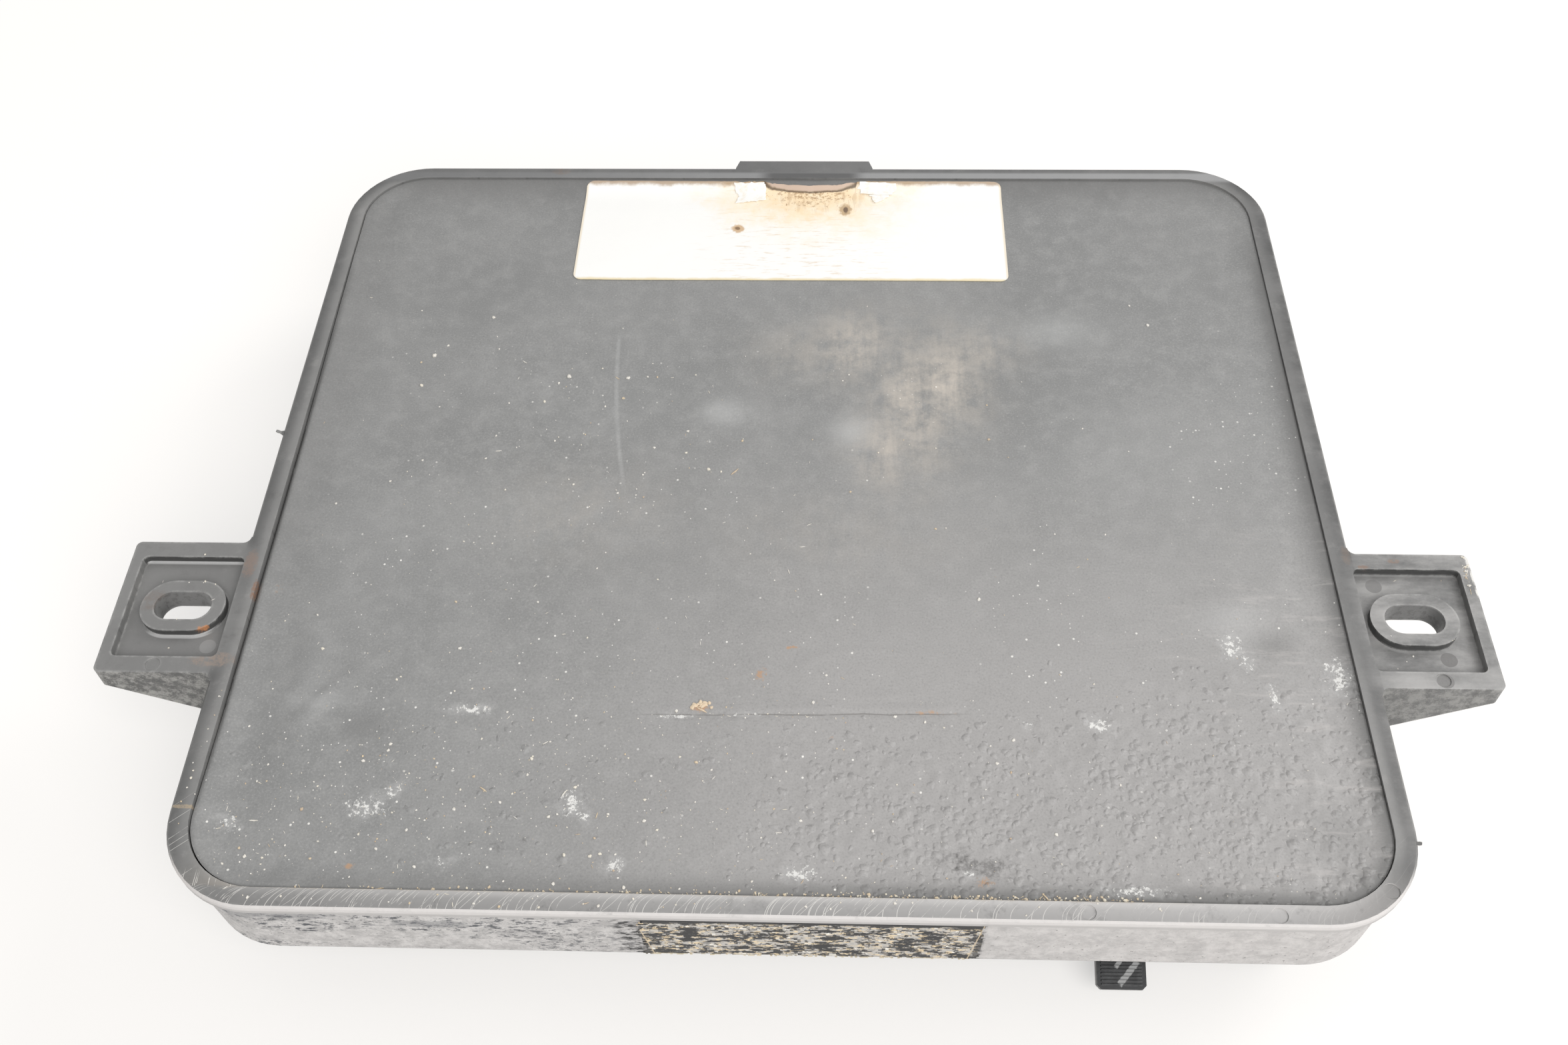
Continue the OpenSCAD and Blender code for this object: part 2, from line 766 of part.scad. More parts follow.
// Two fields of pins, one on each side of the plug's bolt
module pin_places(z) {
    for (s = sides, column = [0:pin_columns - 1], row = [-1:1])
        translate([header_x + s * (pin_clear + column * pin_pitch), header_y + row * row_pitch, z])
            children();
}

module connector_pins() {
    pin_low = header_low + pin_recess;
    color("#c9c4ae")
        pin_places(pin_low)
            translate([-pin_w / 2, -pin_w / 2, 0])
                cube([pin_w, pin_w, board_top + pin_tail - pin_low]);
}

// The ribbed finger tab, slanting down to the front
module finger_tab() {
    half = tab_w / 2;
    translate([header_x, header_face, header_low + tab_up])
        rotate([tab_slant, 0, 0]) {
            difference() {
                translate([0, 0, -tab_t])
                    linear_extrude(tab_t)
                        polygon([[-half, shroud_wall / 2], [-half, tab_corner - tab_l],
                            [tab_corner - half, -tab_l], [half - tab_corner, -tab_l],
                            [half, tab_corner - tab_l], [half, shroud_wall / 2]]);
                for (s = sides)
                    translate([s * tab_w / 4, -tab_window_gap - tab_window / 2, -tab_t / 2])
                        cube([tab_window, tab_window, tab_t + cut], center = true);
            }
            for (step = [0:tab_ribs - 1])
                translate([-half + tab_corner, -tab_l + tab_corner + step * tab_rib_pitch, -tab_rib_h])
                    cube([tab_w - 2 * tab_corner, tab_rib_pitch / 2, 2 * tab_rib_h]);
        }
}

module connector_header() {
    color("#2b2b2a")
        translate([header_x, header_y, 0])
            difference() {
                union() {
                    difference() {
                        union() {
                            translate([0, 0, header_low])
                                rounded_block(header_l, header_w, header_r, board_low - header_low);
                            translate([0, 0, flange_low])
                                rounded_block(header_l + 2 * flange_w, header_w + 2 * flange_w,
                                    header_r + flange_w, flange_t);
                        }
                        translate([0, 0, header_low - cut])
                            rounded_block(header_l - 2 * shroud_wall, header_w - 2 * shroud_wall,
                                header_r - shroud_wall, socket_depth + cut);
                    }
                    translate([0, 0, bush_low])
                        cylinder(d = bush_boss_d, h = bush_out + cut);
                    translate([-header_x, -header_y, 0])
                        finger_tab();
                }
                translate([0, 0, bush_low - cut])
                    cylinder(d = bush_d, h = bush_l + cut);
                translate([-header_x, -header_y, 0])
                    connector_pins();
            }
}

module connector_insert() {
    color("#b08d4a")
        translate([header_x, header_y, bush_low])
            difference() {
                cylinder(d = bush_d, h = bush_l);
                translate([0, 0, -cut])
                    cylinder(d = bush_bore_d, h = bush_l + 2 * cut);
            }
}

module header_gasket() {
    color("#a8552c")
        translate([header_x, header_y, floor_top])
            linear_extrude(gasket_t)
                difference() {
                    rounded_outline(header_l + 2 * flange_w, header_w + 2 * flange_w, header_r + flange_w);
                    rounded_outline(header_l + 2 * header_gap, header_w + 2 * header_gap,
                        header_r + header_gap);
                }
}

module top_label() {
    color("#e9e3cf")
        translate([-top_label_left, pocket_d / 2 - top_label_gap - top_label_w / 2, potting_top])
            rounded_block(top_label_l, top_label_w, label_r, label_t);
}

// The front label leans with the wall behind it
module front_label() {
    lean = atan(tray_lean / tray_h);
    lip_lean = tray_lean * lip_h / tray_h;
    color("#1f1e1c")
        translate([front_label_right, lip_lean - wall_d / 2, lip_low])
            rotate([90 - lean, 0, 0])
                translate([0, -front_label_gap - front_label_h / 2, 0])
                    rounded_block(front_label_l, front_label_h, label_r, label_t);
}

// A chip with two rows of leads, its pin-one notch at one end
module two_row_chip(leads, body_w) {
    body_l = (leads - 1) * lead_pitch + 2 * chip_end;
    middle = chip_lift + chip_h / 2;
    half = body_w / 2;
    difference() {
        translate([-body_l / 2, 0, middle])
            rotate([90, 0, 90])
                linear_extrude(body_l)
                    polygon([[-half, 0], [chip_lean - half, -chip_h / 2], [half - chip_lean, -chip_h / 2],
                        [half, 0], [half - chip_lean, chip_h / 2], [chip_lean - half, chip_h / 2]]);
        translate([-body_l / 2, 0, middle])
            cylinder(d = lead_pitch, h = chip_h);
    }
    for (s = sides, step = [0:leads - 1])
        translate([(step - (leads - 1) / 2) * lead_pitch, s * half, middle / 2])
            cube([lead_w, lead_t, middle], center = true);
}

module processor_chip() {
    half = processor_w / 2;
    middle = chip_lift + chip_h / 2;
    color("#232322")
        under_board(-pan_in_x + processor_inset, logic_y) {
            translate([0, 0, chip_lift])
                linear_extrude(chip_h)
                    polygon([[-half, -half], [half, -half], [half, half - processor_corner],
                        [half - processor_corner, half], [-half, half]]);
            for (quarter = [0:3], step = [0:processor_leads - 1])
                rotate(quarter * 90)
                    translate([half, (step - (processor_leads - 1) / 2) * processor_pitch, middle / 2])
                        cube([lead_t, lead_w, middle], center = true);
        }
}

module program_memory() {
    color("#2a2a29")
        under_board(-pan_in_x + memory_inset, logic_y)
            two_row_chip(memory_leads, wide_chip_w);
}

module interface_chip() {
    color("#272726")
        under_board(-pan_in_x + processor_inset, second_y)
            two_row_chip(interface_leads, wide_chip_w);
}

module driver_chips() {
    color("#2c2c2b")
        for (step = [0:driver_count - 1])
            under_board(pan_in_x - driver_inset - step * driver_pitch, logic_y, 90)
                two_row_chip(driver_leads, slim_chip_w);
}

module quartz_crystal() {
    color("#c4c6c6")
        under_board(-pan_in_x + crystal_inset, logic_y, 90) {
            stadium(crystal_l + 2 * crystal_rim, crystal_w + 2 * crystal_rim, crystal_rim);
            stadium(crystal_l, crystal_w, crystal_h);
        }
}

// Places its children at the transistors' places on the heat sink
module device_places(from, to) {
    for (step = [from:to])
        under_board(sink_x + (step - (device_count - 1) / 2) * device_pitch, sink_y)
            children();
}

module heat_sink() {
    color("#b4b6b7")
        difference() {
            under_board(sink_x, sink_y)
                translate([-sink_l / 2, 0, 0])
                    rotate([90, 0, 90])
                        linear_extrude(sink_l)
                            polygon([[0, 0], [sink_t + sink_foot, 0], [sink_t + sink_foot, sink_t],
                                [sink_t, sink_t], [sink_t, sink_h], [0, sink_h]]);
            device_places(0, device_count - 1)
                translate([0, -cut, device_screw_z])
                    rotate([-90, 0, 0])
                        cylinder(d = screw_d + 2 * thread_gap, h = sink_t + 2 * cut);
            for (s = sides)
                under_board(sink_x + s * sink_screw_x, sink_y + sink_screw_y)
                    translate([0, 0, -cut])
                        cylinder(d = screw_d + 2 * thread_gap, h = sink_t + 2 * cut);
        }
}

module heat_sink_screws() {
    color("#b9bab6")
        for (s = sides)
            translate([sink_x + s * sink_screw_x, sink_y + sink_screw_y, board_top])
                screw(board_t + sink_t - screw_tip);
}

// A transistor on its leads, its plate's back at zero and its body in front
module power_device(leads) {
    lead_y = -device_plate - device_body / 2;
    lead_step = device_w / 2 / (leads - 1);
    difference() {
        translate([-device_w / 2, -device_plate, device_lead])
            cube([device_w, device_plate, device_plate_h]);
        translate([0, cut, device_screw_z])
            rotate([90, 0, 0])
                cylinder(d = screw_d + 2 * screw_gap, h = device_plate + 2 * cut);
    }
    translate([-device_w / 2, -device_plate - device_body, device_lead])
        cube([device_w, device_body + device_plate / 2, device_h]);
    for (step = [0:leads - 1])
        translate([(step - (leads - 1) / 2) * lead_step, lead_y, device_lead / 2 + lead_w])
            cube([lead_w, lead_w, device_lead + 2 * lead_w], center = true);
}

module power_transistors() {
    color("#30302f")
        device_places(0, device_count - 2)
            power_device(3);
}

module voltage_regulator() {
    color("#353534")
        device_places(device_count - 1, device_count - 1)
            power_device(5);
}

module transistor_screws() {
    color("#b9bab6")
        device_places(0, device_count - 1)
            translate([0, -device_plate, device_screw_z])
                rotate([90, 0, 0])
                    screw(device_screw_l);
}

// Round cans, crimped in near the board and eased at the far end
module filter_capacitors() {
    can_r = can_d / 2;
    color("#3a4658")
        for (step = [0:can_count - 1])
            under_board(can_x + step * can_pitch, can_y)
                rotate_extrude()
                    polygon([[0, 0], [can_r, 0], [can_r, 2 * can_crimp], [can_r - can_crimp, 3 * can_crimp],
                        [can_r, 4 * can_crimp], [can_r, can_h - can_crimp], [can_r - can_crimp, can_h],
                        [0, can_h]]);
}

module choke_core() {
    color("#4b4a48")
        under_board(choke_x, can_y) {
            cylinder(d = choke_d, h = choke_flange);
            cylinder(d = choke_core_d, h = choke_h);
            translate([0, 0, choke_h - choke_flange])
                cylinder(d = choke_d, h = choke_flange);
        }
}

// The winding is turn on turn of round wire over the whole length between the flanges
module choke_winding() {
    core_r = choke_core_d / 2;
    winding_h = choke_h - 2 * choke_flange;
    turns = floor(winding_h / wire_d);
    turn_step = winding_h / turns;
    color("#a8642f")
        under_board(choke_x, can_y)
            translate([0, 0, choke_flange])
                rotate_extrude() {
                    translate([core_r, 0])
                        square([wire_d, winding_h]);
                    for (turn = [0:turns - 1])
                        translate([core_r + wire_d, (turn + 0.5) * turn_step])
                            circle(d = turn_step - wire_gap);
                }
}

// A moulded block on the board with its far long edges eased
module eased_block(l, w, h) {
    translate([-l / 2, 0, 0])
        rotate([90, 0, 90])
            linear_extrude(l)
                polygon([[-w / 2, 0], [w / 2, 0], [w / 2, h - part_edge], [w / 2 - part_edge, h],
                    [part_edge - w / 2, h], [-w / 2, h - part_edge]]);
}

module resistor_packs() {
    color("#8c7a4c")
        for (step = [0:pack_count - 1])
            under_board(-pan_in_x + pack_inset, second_y + (step - (pack_count - 1) / 2) * pack_pitch)
                eased_block(pack_l, pack_t, pack_h);
}

module noise_capacitors() {
    color("#9a3f2e")
        for (step = [0:noise_count - 1])
            under_board(header_x + (step - (noise_count - 1) / 2) * noise_pitch, noise_y, 90)
                eased_block(noise_w, noise_t, noise_h);
}

// A round body lying on the board between two leads bent down to it
module axial_part(d, l) {
    reach = l / 2 + axial_lead_l;
    translate([-l / 2, 0, d / 2])
        rotate([0, 90, 0])
            cylinder(d = d, h = l);
    translate([-reach, 0, d / 2])
        rotate([0, 90, 0])
            cylinder(d = axial_lead_d, h = 2 * reach);
    for (s = sides)
        translate([s * (reach - axial_lead_d / 2), 0, 0])
            cylinder(d = axial_lead_d, h = d / 2);
}

module diodes() {
    color("#54524e")
        for (step = [0:diode_count - 1])
            under_board(pan_in_x - diode_inset - step * diode_pitch, second_y, 90)
                axial_part(diode_d, diode_l);
}

module surge_suppressor() {
    color("#3b3a38")
        under_board(surge_x, surge_y)
            axial_part(surge_d, surge_l);
}

module sense_resistors() {
    color("#d9d6cc")
        for (step = [1:sense_count])
            under_board(surge_x + step * (sense_l + sense_gap), surge_y)
                eased_block(sense_l, sense_w, sense_w);
}

housing();
potting_compound();
circuit_board();
board_screws();
connector_header();
header_gasket();
connector_pins();
connector_insert();
top_label();
front_label();
processor_chip();
program_memory();
interface_chip();
driver_chips();
quartz_crystal();
heat_sink();
heat_sink_screws();
power_transistors();
voltage_regulator();
transistor_screws();
filter_capacitors();
choke_core();
choke_winding();
resistor_packs();
noise_capacitors();
diodes();
surge_suppressor();
sense_resistors();
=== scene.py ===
# Looks of an engine control unit: a potted tray with two slotted ears and a plug socket below.
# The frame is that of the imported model: metres, +Z up and the front towards -Y. Sizes are written
# in millimetres, times mm.
import math

import bpy
import numpy as np
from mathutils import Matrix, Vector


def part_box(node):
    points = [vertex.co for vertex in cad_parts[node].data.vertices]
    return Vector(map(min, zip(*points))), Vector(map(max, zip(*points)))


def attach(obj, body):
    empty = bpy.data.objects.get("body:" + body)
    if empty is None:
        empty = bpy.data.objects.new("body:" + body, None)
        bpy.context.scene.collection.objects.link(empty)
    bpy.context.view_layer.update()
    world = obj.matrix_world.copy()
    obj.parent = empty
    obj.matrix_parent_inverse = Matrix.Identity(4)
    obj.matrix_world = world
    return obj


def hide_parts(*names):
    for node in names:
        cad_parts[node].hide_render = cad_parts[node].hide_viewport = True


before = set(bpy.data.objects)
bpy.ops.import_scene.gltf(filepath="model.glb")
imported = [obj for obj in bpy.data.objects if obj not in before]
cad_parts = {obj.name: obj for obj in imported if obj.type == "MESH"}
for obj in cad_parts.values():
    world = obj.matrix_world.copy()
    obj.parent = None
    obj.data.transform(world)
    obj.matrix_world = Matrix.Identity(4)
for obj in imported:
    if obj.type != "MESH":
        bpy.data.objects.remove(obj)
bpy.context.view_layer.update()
bpy.ops.object.select_all(action="DESELECT")


# HOUSING
# The tray is one injection moulding in black glass-filled nylon: rim, leaning wall, pan, ribs and
# both slotted ears leave the mould together, so every edge carries a small mould radius. Years in
# the engine bay dusted its front wall, rubbed arcs into the rim and left rust round the bolts.
mm = 0.001


def modify(piece, name, kind, **settings):
    """Add a modifier to the active piece, set it up and apply it."""
    made = piece.modifiers.new(name, kind)
    for key, value in settings.items():
        setattr(made, key, value)
    bpy.ops.object.modifier_apply(modifier=made.name)


def moulded_copy(node, name, radius):
    """A merged copy of a CAD node with the mould radius on its edges, standing for the node."""
    piece = bpy.data.objects.new(name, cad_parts[node].data.copy())
    bpy.context.scene.collection.objects.link(piece)
    bpy.ops.object.select_all(action="DESELECT")
    piece.select_set(True)
    bpy.context.view_layer.objects.active = piece
    bpy.ops.object.mode_set(mode="EDIT")
    bpy.ops.mesh.select_all(action="SELECT")
    bpy.ops.mesh.customdata_custom_splitnormals_clear()
    bpy.ops.mesh.remove_doubles(threshold=0.005 * mm)
    bpy.ops.mesh.dissolve_limited(angle_limit=math.radians(0.5))
    bpy.ops.object.mode_set(mode="OBJECT")
    modify(piece, "mould_radius", "BEVEL", width=radius, segments=2, limit_method="ANGLE",
           angle_limit=math.radians(35))
    bpy.ops.object.shade_smooth_by_angle(angle=math.radians(32))
    modify(piece, "flat_faces", "WEIGHTED_NORMAL", keep_sharp=True)
    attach(piece, "root")
    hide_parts(node)
    return piece


class Wire:
    """What a shader node gives, ready for plain arithmetic."""

    def __init__(self, socket):
        self.socket, self.tree = socket, socket.id_data

    def __add__(self, other):
        return reckon("ADD", self, other)

    def __sub__(self, other):
        return reckon("SUBTRACT", self, other)

    def __rsub__(self, other):
        return reckon("SUBTRACT", other, self)

    def __mul__(self, other):
        return reckon("MULTIPLY", self, other)

    def __truediv__(self, other):
        return reckon("DIVIDE", self, other)

    def __pow__(self, other):
        return reckon("POWER", self, other)

    def __lt__(self, other):
        return reckon("LESS_THAN", self, other)

    def __gt__(self, other):
        return reckon("GREATER_THAN", self, other)

    def __abs__(self):
        return reckon("ABSOLUTE", self)


def feed(node, key, value):
    """Wire a value into a node's socket, or set the socket to it."""
    socket = node.inputs[key]
    if isinstance(value, Wire):
        value.tree.links.new(value.socket, socket)
    elif socket.type == "RGBA":
        socket.default_value = (*value, 1)
    else:
        socket.default_value = value


def put(where, kind, wires=None, **settings):
    """Add one shader node, set it up and feed it. The place is a node tree or any wire in it."""
    made = getattr(where, "tree", where).nodes.new("ShaderNode" + kind)
    for key, value in settings.items():
        setattr(made, key, value)
    for key, value in (wires or {}).items():
        feed(made, key, value)
    return made


def give(where, kind, wires=None, output=0, **settings):
    """Add one shader node for a single output."""
    return Wire(put(where, kind, wires, **settings).outputs[output])


def gives(where, kind, wires=None, **settings):
    """Add one shader node for all that it gives, by name."""
    return {socket.name: Wire(socket) for socket in put(where, kind, wires, **settings).outputs}


def reckon(operation, a, b=0.0):
    return give(a if isinstance(a, Wire) else b, "Math", {0: a, 1: b}, operation=operation)


def larger(a, b):
    return reckon("MAXIMUM", a, b)


def vector(operation, a, b):
    single = operation in ("DOT_PRODUCT", "DISTANCE")
    return give(a, "VectorMath", {0: a, 1: b}, "Value" if single else 0, operation=operation)


def length(a):
    return give(a, "VectorMath", {0: a}, "Value", operation="LENGTH")


def axes(a):
    """The x, y and z of a place or a normal."""
    return gives(a, "SeparateXYZ", {0: a}).values()


def fade(value, none, full):
    """A soft rise from nought to one between two values."""
    wires = {"Value": value, "From Min": none, "From Max": full}
    return give(value, "MapRange", wires, "Result", interpolation_type="SMOOTHSTEP")


def fade_mm(value, none, full):
    return fade(value, none * mm, full * mm)


def noise(place, scale, detail=3.0, rough=0.55):
    wires = {"Vector": place, "Scale": scale, "Detail": detail, "Roughness": rough}
    return give(place, "TexNoise", wires)


def paint(share, under, over):
    """Lay one colour over another by a share that changes over the surface."""
    return give(share, "MixRGB", {"Fac": share, "Color1": under, "Color2": over}, "Color")


def effect(name, takes, outputs):
    """Start a shader node group: its tree, what it reads by name, and the node that it fills."""
    tree = bpy.data.node_groups.new(name, "ShaderNodeTree")
    for label, kind, value in (("Vector", "Vector", None), *takes):
        socket = tree.interface.new_socket(label, in_out="INPUT", socket_type="NodeSocket" + kind)
        if value is not None:
            socket.default_value = value
    for label in outputs:
        tree.interface.new_socket(label, in_out="OUTPUT", socket_type="NodeSocketFloat")
    start, end = tree.nodes.new("NodeGroupInput"), tree.nodes.new("NodeGroupOutput")
    return tree, {socket.name: Wire(socket) for socket in start.outputs}, end


def use(group, place, **values):
    """Place a shared effect in a material: what it gives, by name."""
    return gives(place, "Group", {"Vector": place, **values}, node_tree=group)


def finish(name, roughness, metallic=0.0):
    """A new material, its Principled shader, and the place on the piece that patterns read."""
    material = bpy.data.materials.new(name)
    material.use_nodes = True
    tree = material.node_tree
    tree.nodes.clear()
    skin = put(tree, "BsdfPrincipled", {"Roughness": roughness, "Metallic": metallic})
    put(tree, "OutputMaterial", {"Surface": Wire(skin.outputs[0])})
    return material, skin, give(tree, "TexCoord", output="Object")


def relief(skin, height, depth, strength=1.0):
    """Raise or sink the shading by a height, with its depth in metres, on top of any laid before."""
    bump = put(height, "Bump", {"Height": height, "Distance": depth, "Strength": strength})
    if skin.inputs["Normal"].is_linked:
        feed(bump, "Normal", Wire(skin.inputs["Normal"].links[0].from_socket))
    feed(skin, "Normal", Wire(bump.outputs[0]))


def clothe(piece, material):
    piece.data.materials.clear()
    piece.data.materials.append(material)


# Grain of a moulded face: broad flow shading and a fine spark-eroded height.
grain, read, fill = effect("moulded_grain", [("Scale", "Float", 1.0)], ["Mottle", "Height"])
broad = noise(read["Vector"], read["Scale"] * 45, 5, 0.6)
feed(fill, "Mottle", fade(broad, 0.3, 0.7))
feed(fill, "Height", noise(read["Vector"], read["Scale"] * 1500, 2))

# Rubbed edges: where the rounded normal leaves the true one, broken up by noise.
rubbed, read, fill = effect("rubbed_edges", [("Radius", "Float", 0.0008)], ["Mask"])
rounded = give(rubbed, "Bevel", {"Radius": read["Radius"]}, samples=4)
true = give(rubbed, "NewGeometry", output="Normal")
turn = vector("DOT_PRODUCT", rounded, true)
worn = fade(turn, 0.99, 0.86) * fade(noise(read["Vector"], 420, 4, 0.7), 0.38, 0.66)
feed(fill, "Mask", worn)

# One stain: full in the middle, ragged towards its edge.
takes = [("Middle", "Vector", (0, 0, 0)), ("Reach", "Vector", (0.01, 0.01, 0.01)),
         ("Breakup", "Float", 700.0)]
stain, read, fill = effect("ragged_stain", takes, ["Mask"])
away = vector("SUBTRACT", read["Vector"], read["Middle"])
away = length(vector("DIVIDE", away, read["Reach"]))
left = noise(read["Vector"], read["Breakup"], 5, 0.65) - away
feed(fill, "Mask", fade(left, -0.42, -0.05))


def stained(place, middle, reach, breakup):
    """One ragged stain, its middle and reach in millimetres."""
    middle, reach = (tuple(part * mm for part in sizes) for sizes in (middle, reach))
    return use(stain, place, Middle=middle, Reach=reach, Breakup=breakup)["Mask"]


# Streaks: noise drawn out along one direction, kept above a level.
takes = [("Stretch", "Vector", (1, 1, 1)), ("Level", "Float", 0.55), ("Soft", "Float", 0.06)]
streaks, read, fill = effect("drawn_streaks", takes, ["Mask"])
drawn = vector("MULTIPLY", read["Vector"], read["Stretch"])
drawn = noise(drawn, 1.0, 6, 0.68)
feed(fill, "Mask", fade(drawn - read["Level"], 0.0, read["Soft"]))


def streaked(place, stretch, level, soft):
    return use(streaks, place, Stretch=stretch, Level=level, Soft=soft)["Mask"]


housing = moulded_copy("housing", "tray_housing", 0.3 * mm)
# Its colour holds weathering and also painted light and shade on the rim, the lip and the ears.
plastic, skin, place = finish("housing_plastic_wear_and_painted_light", 0.5)
x, y, z = axes(place)
_, facing_y, facing_z = axes(give(place, "NewGeometry", output="Normal"))
moulded = use(grain, place, Scale=1.0)
body = paint(moulded["Mottle"], (0.160, 0.159, 0.156), (0.212, 0.210, 0.205))
rim_half_x, rim_half_y, rim_corner = 110, 97.5, 18
slot_x, slot_y = 119.6, -35.1
# The upper faces grey along the front and on the right ear, where hands and tools reach them, and along
# the front a painted sheen makes them lighter towards the right.
upward = fade(facing_z, 0.3, 0.8)
across_x = abs(x)
to_right = fade_mm(x, -100, 110)
rubbed_front = fade_mm(y, -85, -95) * upward * fade_mm(x, -110, -72)
front_wear_and_sheen = paint(to_right, (0.325, 0.318, 0.312), (0.52, 0.505, 0.495))
front_wear_and_sheen = paint(fade_mm(x, 82, 106), front_wear_and_sheen, (0.34, 0.325, 0.315))
on_rim = upward * (across_x < (rim_half_x + 0.4) * mm)
# The right end of the rim top is painted darker: painted shade.
dim = on_rim * fade_mm(x, 98, 106)
body = paint(dim * 0.32, body, (0.085, 0.085, 0.084))
body = paint(rubbed_front * 0.8, body, front_wear_and_sheen)
handled = noise(place, 240, 8, 0.76)
body = paint(upward * fade(handled, 0.52, 0.72) * 0.30, body, (0.34, 0.33, 0.32))
body = paint(upward * fade(handled, 0.48, 0.28) * 0.35, body, (0.085, 0.082, 0.08))
# The rim is painted darker towards its outer edge as painted shade and paler along its inner one as a
# painted highlight.
past_x = across_x - (rim_half_x - rim_corner) * mm
past_y = abs(y) - (rim_half_y - rim_corner) * mm
beyond = length(give(place, "CombineXYZ", {0: larger(past_x, 0.0), 1: larger(past_y, 0.0)}))
inset = rim_corner * mm - beyond - reckon("MINIMUM", larger(past_x, past_y), 0.0)
from_slot = abs(y - slot_y * mm)
rim_band = on_rim * fade_mm(y, 93.5, 91)
beside = fade_mm(y, -92, -80)
rim_outer_shade = rim_band * fade_mm(inset, 2.8, 0) * fade_mm(from_slot, 13, 17)
body = paint(rim_outer_shade * (beside * 0.26 + 0.16), body, (0.02, 0.02, 0.02))
rim_highlight_side = fade_mm(inset, 1.6, 3.4) * beside
front_right = fade_mm(x, 60, 105) * fade_mm(y, -35, -60)
rim_highlight_side = rim_highlight_side * (front_right * 0.13 + 0.10 - to_right * 0.05)
rim_highlight_front = fade_mm(inset, 2.2, 3.6) * (1 - beside) * 0.34
rim_highlight_front = rim_highlight_front * fade_mm(x, -140, -20) * fade_mm(x, 140, 50)
body = paint(rim_band * larger(rim_highlight_side, rim_highlight_front), body, (0.72, 0.70, 0.68))
# The back of the rim is painted darker outside as painted shade and paler towards the potting as a
# painted highlight, with a painted shadow at the foot of the back tongue.
at_back = on_rim * fade_mm(y, 92, 93.5)
inner = at_back * fade_mm(y, 96.2, 95.2)
body = paint(at_back * 0.25, body, (0.13, 0.13, 0.132))
back_highlight_tone = paint(fade_mm(x, -110, 40), (0.20, 0.20, 0.202), (0.46, 0.46, 0.462))
body = paint(inner * 0.55, body, back_highlight_tone)
tongue_shadow = inner * fade_mm(abs(x - 1.7 * mm), 14, 9)
body = paint(tongue_shadow * 0.8, body, (0.075, 0.074, 0.073))
left_ear = fade_mm(x, -109, -112) * upward
body = paint(left_ear * 0.38, body, (0.29, 0.285, 0.278))
right_ear = fade_mm(x, 106, 114) * upward
smear = streaked(place, (70, 170, 60), 0.30, 0.42)
body = paint(right_ear * smear * 0.9, body, (0.40, 0.39, 0.38))
# The front of the right ear's top is painted paler as a painted sheen.
ear_sheen = right_ear * fade_mm(y, -43, -49)
body = paint(ear_sheen * 0.25, body, (0.44, 0.43, 0.42))
# Side and back walls: thin dust in patches and dark runs where water went down.
standing = fade(abs(facing_z), 0.6, 0.3)
patches = fade(noise(place, 46, 6, 0.7), 0.42, 0.68)
body = paint(standing * patches * 0.4, body, (0.29, 0.28, 0.265))
runs = streaked(place, (330, 330, 26), 0.55, 0.12)
body = paint(standing * runs * 0.45, body, (0.075, 0.074, 0.072))
# Dust on the front wall, paler to the right, with dark flecks drawn along it at the left.
front_wall = y < -78 * mm
front = fade(facing_y, -0.25, -0.7) * fade_mm(z, 18, 19.5) * front_wall
dusty = paint(fade(noise(place, 230, 9, 0.82), 0.36, 0.64), (0.40, 0.385, 0.375), (0.645, 0.62, 0.60))
dusty = paint(to_right * 0.35, dusty, (0.56, 0.53, 0.51))
to_left = fade_mm(x, 10, -60)
bunched = streaked(place, (34, 20, 110), 0.42, 0.16)
for stretch, level, share in (
        ((420, 300, 1000), 0.55, 1.0), ((900, 400, 2000), 0.565, 0.95), ((170, 200, 460), 0.59, 0.7)):
    fleck = streaked(place, stretch, level, 0.04) * larger(to_left, 0.10) * share
    dusty = paint(fleck * bunched, dusty, (0.085, 0.09, 0.098))
for smut_x, smut_z, wide, deep in ((-86, 34.6, 13, 2.6), (-62, 31, 9, 2.2), (-97, 33.5, 6, 3.4)):
    smut = stained(place, (smut_x, -93, smut_z), (wide, 30, deep), 620)
    dusty = paint(smut * 0.42, dusty, (0.15, 0.155, 0.165))
# Black residue of the film label is smeared past its two ends.
for end, reach in ((-27.2, 3.4), (34.4, 1.1)):
    near = fade_mm(abs(x - end * mm), reach, 0.4 * reach)
    ragged = streaked(place, (420, 300, 900), 0.47, 0.12)
    dusty = paint(near * ragged, dusty, (0.035, 0.035, 0.036))
pits = fade(noise(place, 1300, 2), 0.66, 0.74)
dusty = paint(pits * 0.7, dusty, (0.11, 0.10, 0.095))
body = paint(front, body, dusty)
# The lip under the front of the rim is painted pale, brightest at its top edge: a painted highlight
# over dust.
lip = fade(facing_y, -0.2, -0.5) * fade_mm(z, 37.4, 37.8) * front_wall
lip_highlight_tone = paint(fade_mm(z, 38.2, 39.0), (0.47, 0.45, 0.435), (0.66, 0.63, 0.61))
body = paint(lip * 0.9, body, lip_highlight_tone)
